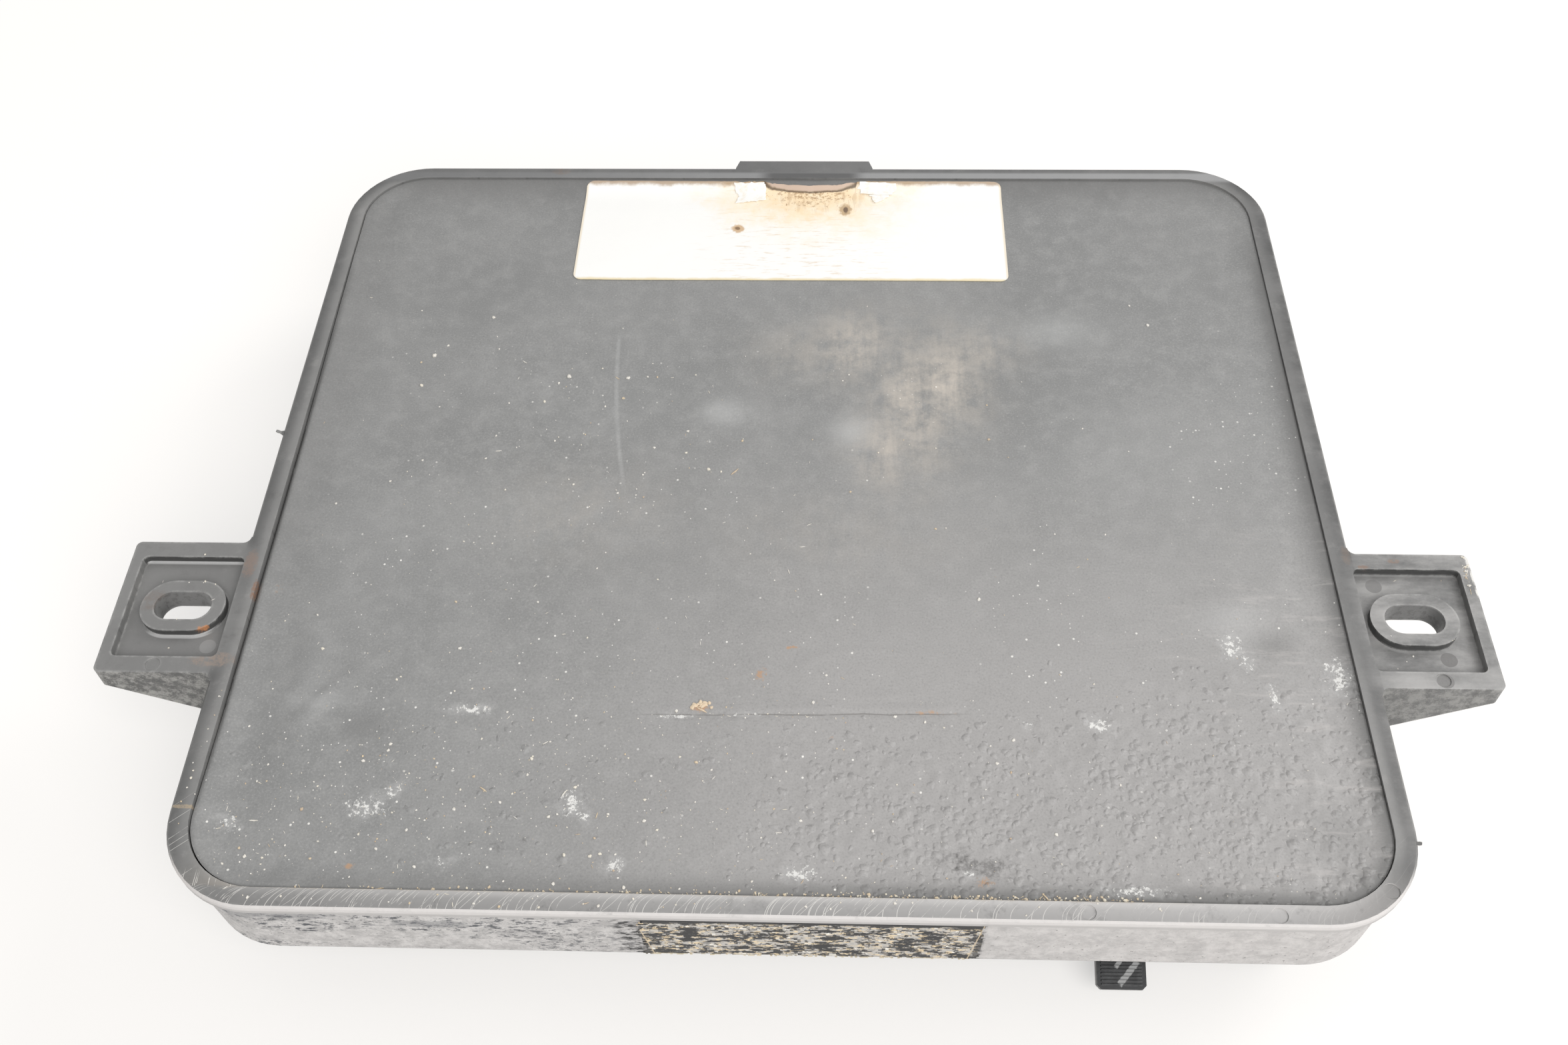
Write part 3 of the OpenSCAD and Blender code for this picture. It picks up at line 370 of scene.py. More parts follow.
# Scratches across the front of the rim where a cover was slid on: two swept sets and a straight one.
arcs = 0.0
for sweep, pitch, kept, wide in ((3.84, 0.7, 0.76, 0.13), (4.3, 1.3, 0.62, 0.07), (0, 1.7, 0.5, 0.05)):
    from_front = y + rim_half_y * mm
    if sweep:
        swing = reckon("SQRT", larger((sweep * mm) ** 2 - from_front * from_front, 0.0))
    else:
        swing = from_front * -1.05
    start = (x + swing) / (pitch * mm) + noise(place, 60, 1) * 3.0
    turn = reckon("FLOOR", start)
    chance = give(place, "TexWhiteNoise", {"W": turn}, "Value", noise_dimensions="1D")
    aside = give(place, "TexWhiteNoise", {"W": turn + 0.37}, "Value", noise_dimensions="1D")
    middle = aside * 0.6 + 0.2
    across = abs(reckon("FRACT", start) - middle)
    line = fade(across, wide, wide * 0.3) * (chance > kept)
    line = line * fade_mm(y, *((-90, -92.5) if sweep else (-74, -82)))
    arcs = larger(arcs, line * fade(noise(place, 170, 5, 0.8), 0.38, 0.54))
arcs = arcs * fade_mm(x, 128, 20) * fade(facing_z, 0.8, 0.97)
body = paint(arcs * 0.75, body, (0.74, 0.72, 0.68))
# Tan grime lies along the inner edge of the front rim, and dark smuts are trodden into it.
ragged_y = y + noise(place, 420, 5, 0.75) * (1.3 * mm)
grimed = rubbed_front * fade_mm(x, 76, 60) * fade_mm(ragged_y, -93.4, -92.6)
body = paint(grimed * 0.7, body, (0.46, 0.36, 0.25))
smuts = rubbed_front * fade(noise(place, 150, 7, 0.75), 0.56, 0.72)
body = paint(smuts * 0.35, body, (0.15, 0.145, 0.14))
# The walls of the ears' recesses are painted black as painted shade, with a painted glint low on the
# walls that face the front; the insides of the slots are specked with grime.
on_ear = across_x > (rim_half_x + 0.6) * mm
along_slot = abs(across_x - slot_x * mm)
in_slot = (along_slot < 6.0 * mm) * (from_slot < 3.5 * mm)
in_recess = (along_slot < 11.0 * mm) * (from_slot < 12.2 * mm)
in_recess = in_recess * on_ear * (z > 38.0 * mm)
walled = in_recess * standing * (1 - in_slot)
body = paint(walled * 0.8, body, (0.035, 0.035, 0.034))
recess_glint = walled * fade(facing_y, -0.5, -0.9) * (z < 38.5 * mm)
recess_glint = recess_glint * fade_mm(x, 160, -60)
body = paint(recess_glint * 0.9, body, (0.66, 0.655, 0.65))
# A painted highlight runs along the back foot of each recess and the front foot of its seat, more at
# the left.
round_end = larger(along_slot - 2.45 * mm, 0.0)
from_seat = length(give(place, "CombineXYZ", {0: round_end, 1: from_slot}))
seat_edge = 5.95
behind_slot = y > slot_y * mm
back_foot = fade_mm(from_slot, 11.2, 11.5) * behind_slot
seat_foot = fade_mm(from_seat, seat_edge + 0.7, seat_edge + 0.45) * (1 - behind_slot)
seat_foot = seat_foot * fade_mm(from_slot, 4.5, 6.0)
floor = upward * in_recess * (z < 38.4 * mm)
foot_glint = floor * larger(back_foot, seat_foot) * fade_mm(x, 200, -60)
body = paint(foot_glint * 0.8, body, (0.55, 0.545, 0.54))
specked = in_slot * standing * fade(noise(place, 900, 5, 0.7), 0.50, 0.60)
body = paint(specked * 0.4, body, (0.045, 0.043, 0.04))
# Rubbed edges and dry white chips, most of them on the right ear. On the ears the pale edges are
# stronger: rubbed wear with a painted glint.
edge = use(rubbed, place, Radius=0.9 * mm)["Mask"]
wear_and_glint_share = on_ear * 0.35 + 0.45 - beside * (1 - on_ear) * 0.3
body = paint(edge * wear_and_glint_share, body, (0.46, 0.455, 0.44))
for chip_x, chip_y, chip_z, reach in (
        (132.9, -21.0, 39.4, (0.7, 2.8, 1.6)), (132.9, -25.0, 39.5, (0.5, 2.4, 1.3)),
        (132.9, -28.6, 39.4, (0.4, 1.8, 1.2)), (131.4, -47.5, 38.0, (1.6, 1.2, 1.6)),
        (-110.0, -49.6, 36.0, (1.5, 1.4, 4))):
    chip = stained(place, (chip_x, chip_y, chip_z), reach, 1700)
    body = paint(chip * 0.95, body, (0.78, 0.76, 0.72))
# Rust carried by water from the bolts: thin and dull on the rim, bright on the left pad's edge.
for rust_x, rust_y, rust_z, reach, tint, share in (
        (-108.6, -24.8, 40, (1.8, 4.5, 3), (0.28, 0.20, 0.16), 0.6),
        (-110.4, -47.5, 40, (5.5, 2.2, 3), (0.32, 0.25, 0.205), 0.7),
        (-106.4, -31.0, 39.4, (0.7, 3.2, 2), (0.28, 0.15, 0.09), 0.75),
        (-113.2, -40.4, 39.6, (2.9, 1.0, 1.4), (0.60, 0.26, 0.11), 0.9),
        (-111.2, -38.6, 39.6, (0.6, 0.9, 1.2), (0.55, 0.24, 0.10), 0.7),
        (118.4, -21.3, 40, (1.6, 0.7, 2), (0.30, 0.17, 0.10), 0.5),
        (112.3, -22.8, 39.6, (1.6, 0.6, 2), (0.27, 0.15, 0.09), 0.5),
        (-107.5, -78.6, 40, (3.6, 0.5, 2), (0.46, 0.36, 0.24), 0.7),
        (-126, -34, 40, (4, 3, 1), (0.20, 0.155, 0.13), 0.4),
        (109.4, -20, 40, (1.2, 3, 2), (0.24, 0.18, 0.14), 0.4),
        (-60, 96, 40, (3, 1.6, 2), (0.22, 0.165, 0.13), 0.4)):
    rust = stained(place, (rust_x, rust_y, rust_z), reach, 1700)
    rust = rust * fade(noise(place, 620, 7, 0.78), 0.34, 0.56)
    body = paint(rust * share, body, tint)
# A crust of dried mud, black and pale, on the faces of the ears' webs.
web = fade(facing_y, -0.4, -0.9) * on_ear * (y < -48 * mm)
crust = paint(fade(noise(place, 420, 9, 0.85), 0.43, 0.58), (0.050, 0.050, 0.047), (0.37, 0.36, 0.335))
crusted = (x > 0.0) * -0.3 + 0.75
body = paint(web * crusted, body, crust)
# Faint discs left by the mould's ejector pins in the ears' recesses and on the right ear's border.
for pin_x, pin_y, pin_z, tint in (
        (124.8, -43.0, 38.1, (0.16, 0.155, 0.15)), (114.1, -26.1, 38.1, (0.20, 0.195, 0.19)),
        (-113.1, -43.4, 38.1, (0.30, 0.295, 0.29)), (122.2, -48.9, 40.0, (0.19, 0.185, 0.18))):
    off = vector("DISTANCE", place, (pin_x * mm, pin_y * mm, pin_z * mm))
    body = paint(fade_mm(off, 1.62, 1.54) * 0.8, body, tint)
feed(skin, "Base Color", body)
feed(skin, "Roughness", moulded["Mottle"] * 0.16 + 0.34 + front * 0.22)
relief(skin, moulded["Height"] - arcs * 0.8, 0.05 * mm, 0.5)
clothe(housing, plastic)


# CONNECTOR HEADER
# The plug's shroud is a glossier black polyester moulding, pressed up through the tray's floor and
# held by the potting. Its ribbed finger tab stands out under the front edge and carries two dabs of
# grey marking paint.
header = moulded_copy("connector_header", "plug_header", 0.14 * mm)
polyester, skin, place = finish("glossy_header_plastic", 0.34)
skin.inputs["Specular IOR Level"].default_value = 0.32
_, y, _ = axes(place)
moulded = use(grain, place, Scale=1.6)
body = paint(moulded["Mottle"], (0.008, 0.008, 0.009), (0.018, 0.018, 0.019))
edge = use(rubbed, place, Radius=0.5 * mm)["Mask"]
body = paint(edge * 0.4, body, (0.16, 0.16, 0.16))
for dab_x, dab_y, half_long, half_wide in ((63.9, -93.2, 2.7, 0.55), (62.1, -91.6, 0.9, 0.4)):
    turned = {0: place, 1: (dab_x * mm, dab_y * mm, 0), 2: (0, 0, math.radians(48))}
    slanted = give(place, "Mapping", turned, vector_type="TEXTURE")
    along, over, _ = axes(slanted)
    ragged = noise(place, 1100, 4, 0.7) * (0.5 * mm)
    ends = abs(along) + ragged
    sides = abs(over) + ragged
    dab = fade_mm(ends, half_long + 0.3, half_long) * fade_mm(sides, half_wide + 0.3, half_wide + 0.15)
    dab = dab * fade_mm(y, -85.5, -86.5)
    body = paint(dab * 0.9, body, (0.36, 0.36, 0.355))
feed(skin, "Base Color", body)
relief(skin, moulded["Height"], 0.02 * mm, 0.4)
clothe(header, polyester)


# SOCKET FITTINGS
# A cut rubber gasket seals the shroud against the tray's floor. Tinned brass pins stand in two rows
# in the socket, and a turned brass bush between them takes the plug's bolt.
rubber, skin, place = finish("gasket_rubber", 0.72)
feed(skin, "Base Color", paint(noise(place, 260, 5, 0.6), (0.012, 0.012, 0.012), (0.035, 0.035, 0.034)))
relief(skin, noise(place, 2400, 2), 0.03 * mm, 0.5)


def dress(material, *nodes):
    """Give CAD nodes a material."""
    for node in nodes:
        clothe(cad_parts[node], material)


dress(rubber, "header_gasket")

# Turning and drawing lines of bare metal, with a dull film in patches.
lines, read, fill = effect("metal_lines", [("Stretch", "Vector", (1, 1, 1))], ["Film", "Height"])
feed(fill, "Film", fade(noise(read["Vector"], 320, 4, 0.6), 0.4, 0.7))
fine = vector("MULTIPLY", read["Vector"], read["Stretch"])
feed(fill, "Height", noise(fine, 1.0, 3))


def metal(name, bright, filmed, roughness, stretch):
    """Bare metal with working lines along one direction and a dull film in patches."""
    made, skin, place = finish(name, roughness, 1.0)
    worked = use(lines, place, Stretch=stretch)
    feed(skin, "Base Color", paint(worked["Film"], bright, filmed))
    feed(skin, "Roughness", worked["Film"] * 0.2 + roughness)
    relief(skin, worked["Height"], 0.01 * mm, 0.4)
    return made


tinned = metal("tinned_pins", (0.66, 0.64, 0.60), (0.42, 0.38, 0.31), 0.28, (2500, 2500, 300))
dress(tinned, "connector_pins")
brass = metal("turned_brass", (0.72, 0.53, 0.24), (0.44, 0.31, 0.14), 0.26, (300, 300, 5200))
dress(brass, "connector_insert")


# HEAT SINK AND POWER DEVICES
# An extruded aluminium angle carries the output transistors and the regulator, each clamped by a
# screw through its tab. Steel pan-head screws hold the angle and the board to the tray's bosses.
aluminium = metal("extruded_aluminium", (0.72, 0.73, 0.74), (0.50, 0.51, 0.52), 0.36, (90, 4200, 4200))
dress(aluminium, "heat_sink")
steel = metal("plated_steel", (0.56, 0.55, 0.52), (0.37, 0.34, 0.28), 0.34, (1800, 1800, 400))
dress(steel, "board_screws", "heat_sink_screws", "transistor_screws")


def resin(name, dark, pale, roughness, scale, depth):
    """A moulded or dipped resin skin: uneven tone and a fine pimpled height."""
    made, skin, place = finish(name, roughness)
    skin_grain = use(grain, place, Scale=scale)
    feed(skin, "Base Color", paint(skin_grain["Mottle"], dark, pale))
    relief(skin, skin_grain["Height"], depth, 0.6)
    return made


epoxy = resin("moulded_epoxy", (0.016, 0.016, 0.017), (0.034, 0.034, 0.034), 0.52, 3.0, 0.02 * mm)
dress(epoxy, "power_transistors", "voltage_regulator")


# CIRCUIT BOARD
# A two-sided glass-epoxy board under green solder resist. Copper tracks run beneath the resist and
# show as paler bands on a square grid.
laminate, skin, place = finish("solder_resist", 0.38)
bricks = {"Vector": place, "Scale": 90.0, "Mortar Size": 0.10, "Color1": (0, 0, 0), "Color2": (0, 0, 0),
          "Mortar": (1, 1, 1)}
grid = give(place, "TexBrick", bricks, "Color", offset=0.5)
kept = fade(noise(place, 60, 2), 0.42, 0.5)
tracks = give(place, "RGBToBW", {0: grid}) * kept
weave = noise(vector("MULTIPLY", place, (900, 900, 1)), 1.0, 2)
resist = paint(weave, (0.012, 0.075, 0.030), (0.020, 0.105, 0.045))
feed(skin, "Base Color", paint(tracks, resist, (0.050, 0.190, 0.075)))
relief(skin, tracks + weave * 0.2, 0.035 * mm)
dress(laminate, "circuit_board")


# CHIPS AND CRYSTAL
# Black transfer-moulded packages with formed leads, soldered to the board's underside: processor,
# program memory, interface and drivers. The crystal sits in a drawn nickel-silver can.
dress(epoxy, "processor_chip", "program_memory", "interface_chip", "driver_chips")
can = metal("drawn_can", (0.68, 0.66, 0.61), (0.50, 0.47, 0.41), 0.24, (260, 260, 3600))
dress(can, "quartz_crystal")


# PASSIVE PARTS
# Filter capacitors wear a shrunk plastic sleeve, the choke is a ferrite ring wound with enamelled
# wire, and resin packs, dipped capacitors, diodes and wire-wound resistors fill the rest.
for node, name, dark, pale, roughness, scale, depth in (
        ("filter_capacitors", "shrunk_sleeve", (0.01, 0.022, 0.06), (0.02, 0.04, 0.095),
         0.32, 1.5, 0.01),
        ("choke_core", "pressed_ferrite", (0.03, 0.031, 0.032), (0.07, 0.07, 0.07), 0.62, 6, 0.04),
        ("resistor_packs", "pack_resin", (0.3, 0.17, 0.04), (0.42, 0.25, 0.07), 0.4, 3, 0.03),
        ("noise_capacitors", "dipped_ceramic", (0.36, 0.15, 0.04), (0.48, 0.22, 0.07), 0.36, 3, 0.03),
        ("diodes", "diode_epoxy", (0.018, 0.018, 0.019), (0.04, 0.04, 0.04), 0.46, 4, 0.02),
        ("surge_suppressor", "suppressor_epoxy", (0.02, 0.02, 0.022), (0.045, 0.045, 0.044),
         0.44, 3, 0.02),
        ("sense_resistors", "fired_ceramic", (0.46, 0.45, 0.42), (0.6, 0.59, 0.55), 0.68, 5, 0.05)):
    dress(resin(name, dark, pale, roughness, scale, depth * mm), node)
enamel, skin, place = finish("enamelled_wire", 0.25, 1.0)
feed(skin, "Base Color", paint(noise(place, 500, 4, 0.6), (0.42, 0.13, 0.05), (0.60, 0.23, 0.09)))
relief(skin, noise(place, 2600, 2), 0.01 * mm, 0.4)
dress(enamel, "choke_winding")


# POTTING
# A two-part resin is poured over the board to just under the rim and cures to a soft grey skin. It
# shrinks off the tray's wall, rolls down at its edge, dents under thumbs and cures pimpled at the
# lower right, where the second pour lapped the first along a crease.
low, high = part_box("potting_compound")
shrink, shift_x, shift_y, skirt = 0.14, 0.06, 0.12, 3.5
half_w = (high.x - low.x) / 2 / mm - shrink
half_d = (high.y - low.y) / 2 / mm - shrink
corner = 14.2 - shrink


def flat_grid(name, columns, rows, half_x, half_y, **where):
    """A flat grid of the given half sizes in millimetres, put at its place."""
    bpy.ops.object.select_all(action="DESELECT")
    bpy.ops.mesh.primitive_grid_add(x_subdivisions=columns, y_subdivisions=rows, size=2, **where)
    piece = bpy.context.object
    piece.name = name
    piece.scale = (half_x * mm, half_y * mm, 1)
    bpy.ops.object.transform_apply(location=True, rotation=True, scale=True)
    return piece


potting = flat_grid("potting_skin", 332, 272, half_w, half_d, location=(0, 0, high.z))


def read_points(piece):
    """A piece's points as a table of x, y, z in millimetres."""
    table = np.empty(len(piece.data.vertices) * 3, np.float32)
    piece.data.vertices.foreach_get("co", table)
    return table.reshape(-1, 3).astype(float) / mm


def write_points(piece, points):
    piece.data.vertices.foreach_set("co", (points * mm).astype(np.float32).ravel())
    piece.data.update()


def round_corners(points, half_x, half_y, radius):
    """Pull a flat grid's corners in to a radius, square to quarter disc."""
    over_x = np.clip(np.abs(points[:, 0]) - (half_x - radius), 0, None) / radius
    over_y = np.clip(np.abs(points[:, 1]) - (half_y - radius), 0, None) / radius
    inside = (over_x > 0) & (over_y > 0)
    round_x = (half_x - radius) + radius * over_x * np.sqrt(1 - over_y ** 2 / 2)
    round_y = (half_y - radius) + radius * over_y * np.sqrt(1 - over_x ** 2 / 2)
    points[inside, 0] = (np.sign(points[:, 0]) * round_x)[inside]
    points[inside, 1] = (np.sign(points[:, 1]) * round_y)[inside]


# Columns and rows lie closer together at the edges and at the front right, where the pimples need them.
points = read_points(potting)
points[:, 0] = np.interp(points[:, 0] / half_w, (-1, -0.955, -0.32, 0.965, 1),
                         (-half_w, 3 - half_w, -10, half_w - 2.4, half_w))
points[:, 1] = np.interp(points[:, 1] / half_d, (-1, -0.13, 0.955, 1),
                         (-half_d, -40, half_d - 2.4, half_d))
round_corners(points, half_w, half_d, corner)
X, Y = points[:, 0].copy(), points[:, 1].copy()


def from_edge(x, y):
    """How far a place lies inside the potting's rounded edge."""
    past_x, past_y = np.abs(x) - (half_w - corner), np.abs(y) - (half_d - corner)
    outside = np.hypot(np.clip(past_x, 0, None), np.clip(past_y, 0, None))
    return corner - outside - np.minimum(np.maximum(past_x, past_y), 0)


edge_in = from_edge(X, Y)


def mound(x, y, reach_x, reach_y, turn=0.0):
    """A smooth hump of height one round a point, its axes turned by an angle."""
    c, s = math.cos(math.radians(turn)), math.sin(math.radians(turn))
    u, v = (X - x) * c + (Y - y) * s, (Y - y) * c - (X - x) * s
    return np.exp(-(u / reach_x) ** 2 - (v / reach_y) ** 2)


# The skin climbs towards the wall and dips into a narrow groove just before it.
at_left = np.clip(-X / half_w, 0, 1) ** 6 * np.clip((Y + 82) / 25, 0, 1)
lift = 0.80 * np.exp(-(edge_in / 3.0) ** 2) - 0.16 * np.exp(-((edge_in - 6) / 3.5) ** 2)
at_front = np.clip((65 - Y) / 55, 0, 1)
lift -= (0.14 + 0.76 * at_left) * at_front * np.exp(-(edge_in / (0.38 + 0.2 * at_left)) ** 2)
lift += 0.30 * mound(-16, 18, 6, 4) + 0.14 * mound(57, 43, 10, 5) + 0.16 * mound(12, 14, 6, 4)
lift += 0.62 * mound(85, -32, 7, 5) - 0.70 * mound(91, -39, 5, 4)
lift += 0.70 * mound(-88, -55, 8, 1.9, 48) - 0.45 * mound(-92, -58, 8, 2.6, 48)
lift -= 0.40 * mound(-80, -60, 6, 5)
lift -= 0.18 * mound(78, 30, 12, 7) + 0.15 * mound(-70, 35, 16, 9)
ring = np.hypot((X - 15.3) / 13.5, (Y + 48.1) / 5.2)
lift += 0.10 * np.exp(-((ring - 1) / 0.16) ** 2)
crease = -57.5 + 0.017 * (X + 24) + 0.18 * np.sin(X / 5.0)
along = np.clip((X + 27) / 5, 0, 1) * np.clip((33 - X) / 5, 0, 1)
lift -= 0.20 * along * np.exp(-((Y - crease) / 0.5) ** 2)
lift += 0.09 * along * np.exp(-((Y - crease - 1.2) / 0.8) ** 2)
# Bubbles that broke the skin late: low domes and a few pits of many sizes, thickest at the front right.
dice = np.random.default_rng(23)


def bubbled(x, y):
    """How thickly the skin is bubbled at a place, from none to one."""
    front_right = np.clip((-y - 55) / 12, 0, 1) * np.clip((x + 18) / 36, 0, 1)
    right = 0.6 * np.clip((x - 40) / 30, 0, 1) * np.clip((-y - 42) / 14, 0, 1)
    left = 0.25 * np.exp(-((x + 48) / 20) ** 2 - ((y + 74) / 12) ** 2)
    return np.maximum(np.maximum(front_right, right), left)


for _ in range(2600):
    at_x, at_y = dice.uniform(-75, 104), dice.uniform(-91, -38)
    spread, height = dice.uniform(0.7, 1.7), dice.uniform(0.05, 0.13)
    if dice.uniform() < 0.8 * bubbled(at_x, at_y):
        near = np.nonzero((np.abs(X - at_x) < spread) & (np.abs(Y - at_y) < spread))[0]
        dome = np.clip(1 - ((X[near] - at_x) ** 2 + (Y[near] - at_y) ** 2) / spread ** 2, 0, 1)
        lift[near] += (height if dice.uniform() < 0.75 else -0.6 * height) * spread * dome ** 1.6
points += np.stack([np.full(len(X), shift_x), np.full(len(X), shift_y), lift], axis=1)
write_points(potting, points)

# Uneven pour, leathery skin and pimples are displaced in turn and applied.
pimpled = bubbled(X, Y) * np.clip((edge_in - 1.5) / 4, 0, 1)
group = potting.vertex_groups.new(name="pimpled")
for level in range(1, 11):
    group.add(np.nonzero(np.round(pimpled * 10) == level)[0].tolist(), level / 10, "REPLACE")
for name, grain_size, height, where in (
        ("uneven_pour", 42, 0.42, ""), ("leathery_skin", 3.2, 0.05, ""),
        ("pimples", 2.4, 0.16, "pimpled")):
    texture = bpy.data.textures.new(name, "CLOUDS")
    texture.noise_scale = grain_size * mm
    modify(potting, name, "DISPLACE", texture=texture, texture_coords="LOCAL", direction="Z",
           strength=height * mm, mid_level=0.5, vertex_group=where)

# A skirt goes down to the board and the bottom is closed.
bpy.ops.object.mode_set(mode="EDIT")
bpy.ops.mesh.select_mode(type="EDGE")
bpy.ops.mesh.select_all(action="DESELECT")
bpy.ops.mesh.select_non_manifold()
bpy.ops.mesh.extrude_edges_move(TRANSFORM_OT_translate={"value": (0, 0, -skirt * mm)})
bpy.ops.transform.resize(value=(1, 1, 0))
bpy.ops.mesh.edge_face_add()
bpy.ops.mesh.select_all(action="SELECT")
bpy.ops.mesh.normals_make_consistent(inside=False)
bpy.ops.object.mode_set(mode="OBJECT")
bpy.ops.object.shade_smooth_by_angle(angle=math.radians(50))

# Stains are put down one by one: chalk, rust, brown smudge and dark rubber, plus smooth pale spots of
# painted sheen.
points = read_points(potting)
X, Y = points[:, 0], points[:, 1]


def spotted(spots):
    """The strongest of several spots at each point, each (x, y, reach in x, reach in y, strength)."""
    return np.max([strength * mound(x, y, rx, ry) for x, y, rx, ry, strength in spots], axis=0)


stains = np.zeros((len(points), 4), np.float32)
stains[:, 0] = spotted([(-75, -77.5, 7.5, 4.8, 0.85), (-71, -74.5, 3, 2.8, 0.9),
                        (-38.2, -76, 3.9, 4.5, 0.9), (-35.5, -79, 2.4, 2, 0.9),
                        (-59.4, -57, 6.8, 2, 0.9), (-21.2, -57.7, 7.5, 1.1, 0.9),
                        (-8.1, -57.4, 6, 1, 0.8), (2.9, -89, 5.4, 2.8, 0.9),
                        (-29.3, -88.1, 3.3, 3.1, 0.9), (57, -58.6, 3.9, 3.4, 0.9),
                        (44.2, -58.8, 2.1, 2, 0.8), (-99.5, -81, 4, 4, 0.8),
                        (60.5, -91.4, 10.5, 1.8, 0.9), (84.2, -41, 4, 5.4, 0.9),
                        (86.6, -44.6, 2.6, 3.6, 0.85), (102.8, -47.5, 4.2, 7, 0.92),
                        (90.3, -52.2, 2, 5.6, 0.88), (-60, -88, 4.5, 2.1, 0.7),
                        (32, -88.5, 2.1, 1.1, 0.9), (-98, -70, 4.5, 7, 0.5), (-15, -70, 3, 1.4, 0.6)])
stains[:, 1] = spotted([(-16.5, -56, 1.6, 1.0, 1), (-5.4, -48.6, 1.3, 1.8, 0.8),
                        (0.4, -42.3, 1.6, 0.5, 0.9), (-76, -88.9, 1.0, 0.7, 1),
                        (34.6, -90.2, 2.2, 1.2, 0.7), (26, -56.4, 5, 0.6, 0.6),
                        (-102, -30, 1.2, 1.8, 0.5), (8, -62, 0.8, 0.6, 0.6)])
stains[:, 2] = spotted([(25, 22, 9, 20, 0.9), (32, 28, 9, 14, 1), (19, 8, 7, 11, 0.8),
                        (12, 38, 9, 10, 0.9), (2, 36, 12, 9, 0.4), (40, 36, 9, 8, 0.6),
                        (-45, -10, 18, 12, 0.22), (10, -15, 22, 10, 0.18)])
stains[:, 3] = spotted([(36, -87.4, 5, 3.2, 0.9), (31, -86, 4, 3.8, 0.85), (27, -85.6, 3, 3, 0.7),
                        (-50.6, -84.8, 2.2, 1.8, 0.8), (-46, -83.4, 1.4, 1.2, 0.7),
                        (-30, -91, 2, 1, 0.6)])
painted = potting.data.attributes.new("stains", "FLOAT_COLOR", "POINT")
painted.data.foreach_set("color", stains.ravel())
# Painted sheen: pale spots on dents and broad areas of the skin.
pale = spotted([(-16.4, 18, 5, 4, 0.6), (84, -35, 6, 4, 0.36), (-89, -55.5, 5, 2, 0.3),
                (57, 43, 9, 5, 0.45), (12, 12.7, 4.5, 4, 0.7), (-40, 20, 20, 14, 0.12),
                (70, 5, 22, 14, 0.12), (-60, -10, 25, 9, 0.10), (-90, -52, 2.5, 14, 0.12)])
# Painted shade in dents, at the right corners, towards the back right and behind the label's tear.
shade_spots = spotted([(91.5, -40, 4, 3, 0.32), (97, -80, 7, 6, 0.35), (-79, -61, 4.5, 3.5, 0.4),
                  (-95, -50, 3, 22, 0.16), (101, -88, 6, 3, 0.5), (84, 74, 16, 8, 0.10),
                  (97, 60, 6, 22, 0.12), (1.7, 93.8, 11.5, 2.2, 1)])
# Painted shade lies in the rolled edge: a narrow band at the right and front, a wide one at the back
# and left.
edge_in = from_edge(X - shift_x, Y - shift_y)
leftmost = np.clip((-X - 80) / 20, 0, 1)
shade_right = 0.45 + 0.65 * np.clip((X + 60) / 90, 0, 1)
shade_left = 0.15 + 0.6 * np.clip((Y + 40) / 80, 0, 1)
edge_shade = shade_right * (1 - leftmost) + shade_left * leftmost
edge_shade *= np.exp(-(edge_in / 2.3) ** 2) * np.clip((80 - Y) / 20, 0, 1)
back_edge_shade = 0.8 * np.exp(-((half_d - Y) / 6.5) ** 2)
left_edge_shade = 0.5 * np.exp(-((half_w + X) / 8) ** 2) * np.clip((Y + 45) / 30, 0, 1)
shade_spots = np.maximum.reduce([shade_spots, edge_shade, back_edge_shade, left_edge_shade])
for name, share in (("pimply", bubbled(X, Y)), ("painted_sheen", pale), ("painted_shade", shade_spots)):
    painted = potting.data.attributes.new(name, "FLOAT", "POINT")
    painted.data.foreach_set("value", share.astype(np.float32))

potting_skin, skin, place = finish("cured_potting", 0.46)
layers = gives(place, "Attribute", attribute_name="stains")
chalk, rusty, smudge = gives(place, "SeparateColor", {0: layers["Color"]}).values()
dark = layers["Alpha"]
sheen = give(place, "Attribute", output="Fac", attribute_name="painted_sheen")
cloudy = noise(place, 26, 5, 0.6)
x, y, _ = axes(place)
body = paint(fade(cloudy, 0.3, 0.7), (0.244, 0.244, 0.240), (0.292, 0.290, 0.285))
body = paint(fade(noise(place, 210, 6, 0.7), 0.42, 0.75) * 0.55, body, (0.35, 0.347, 0.34))
# The skin is painted paler towards the front and the right as a painted sheen.
filmed = fade_mm(y, 30, -72) * fade_mm(x, -75, 15)
body = paint(filmed * 0.72, body, (0.414, 0.398, 0.388))
grainy = noise(place, 2400, 3, 0.7)
body = paint(fade(grainy, 0.5, 0.75) * 0.40, body, (0.46, 0.455, 0.445))
body = paint(fade(grainy, 0.5, 0.25) * 0.40, body, (0.17, 0.17, 0.168))
# Painted sheen on dents and broad patches.
body = paint(sheen * 0.55, body, (0.62, 0.62, 0.61))
# One long bowed scratch left of the middle.
back_of = y - 40.2 * mm
bowed = back_of * (back_of * 2.2 - 0.02)
off = abs(x + 40.6 * mm - bowed)
scratched = fade_mm(off, 0.75, 0.1) * fade_mm(y, 44, 37)
scratched = scratched * fade_mm(y, -8, 5) * noise(place, 150, 4)
body = paint(scratched * 0.36, body, (0.62, 0.62, 0.61))
# Painted shade, from the shade spots and the rolled edge.
painted_shade = give(place, "Attribute", output="Fac", attribute_name="painted_shade")
body = paint(painted_shade * 0.8, body, (0.15, 0.148, 0.144))
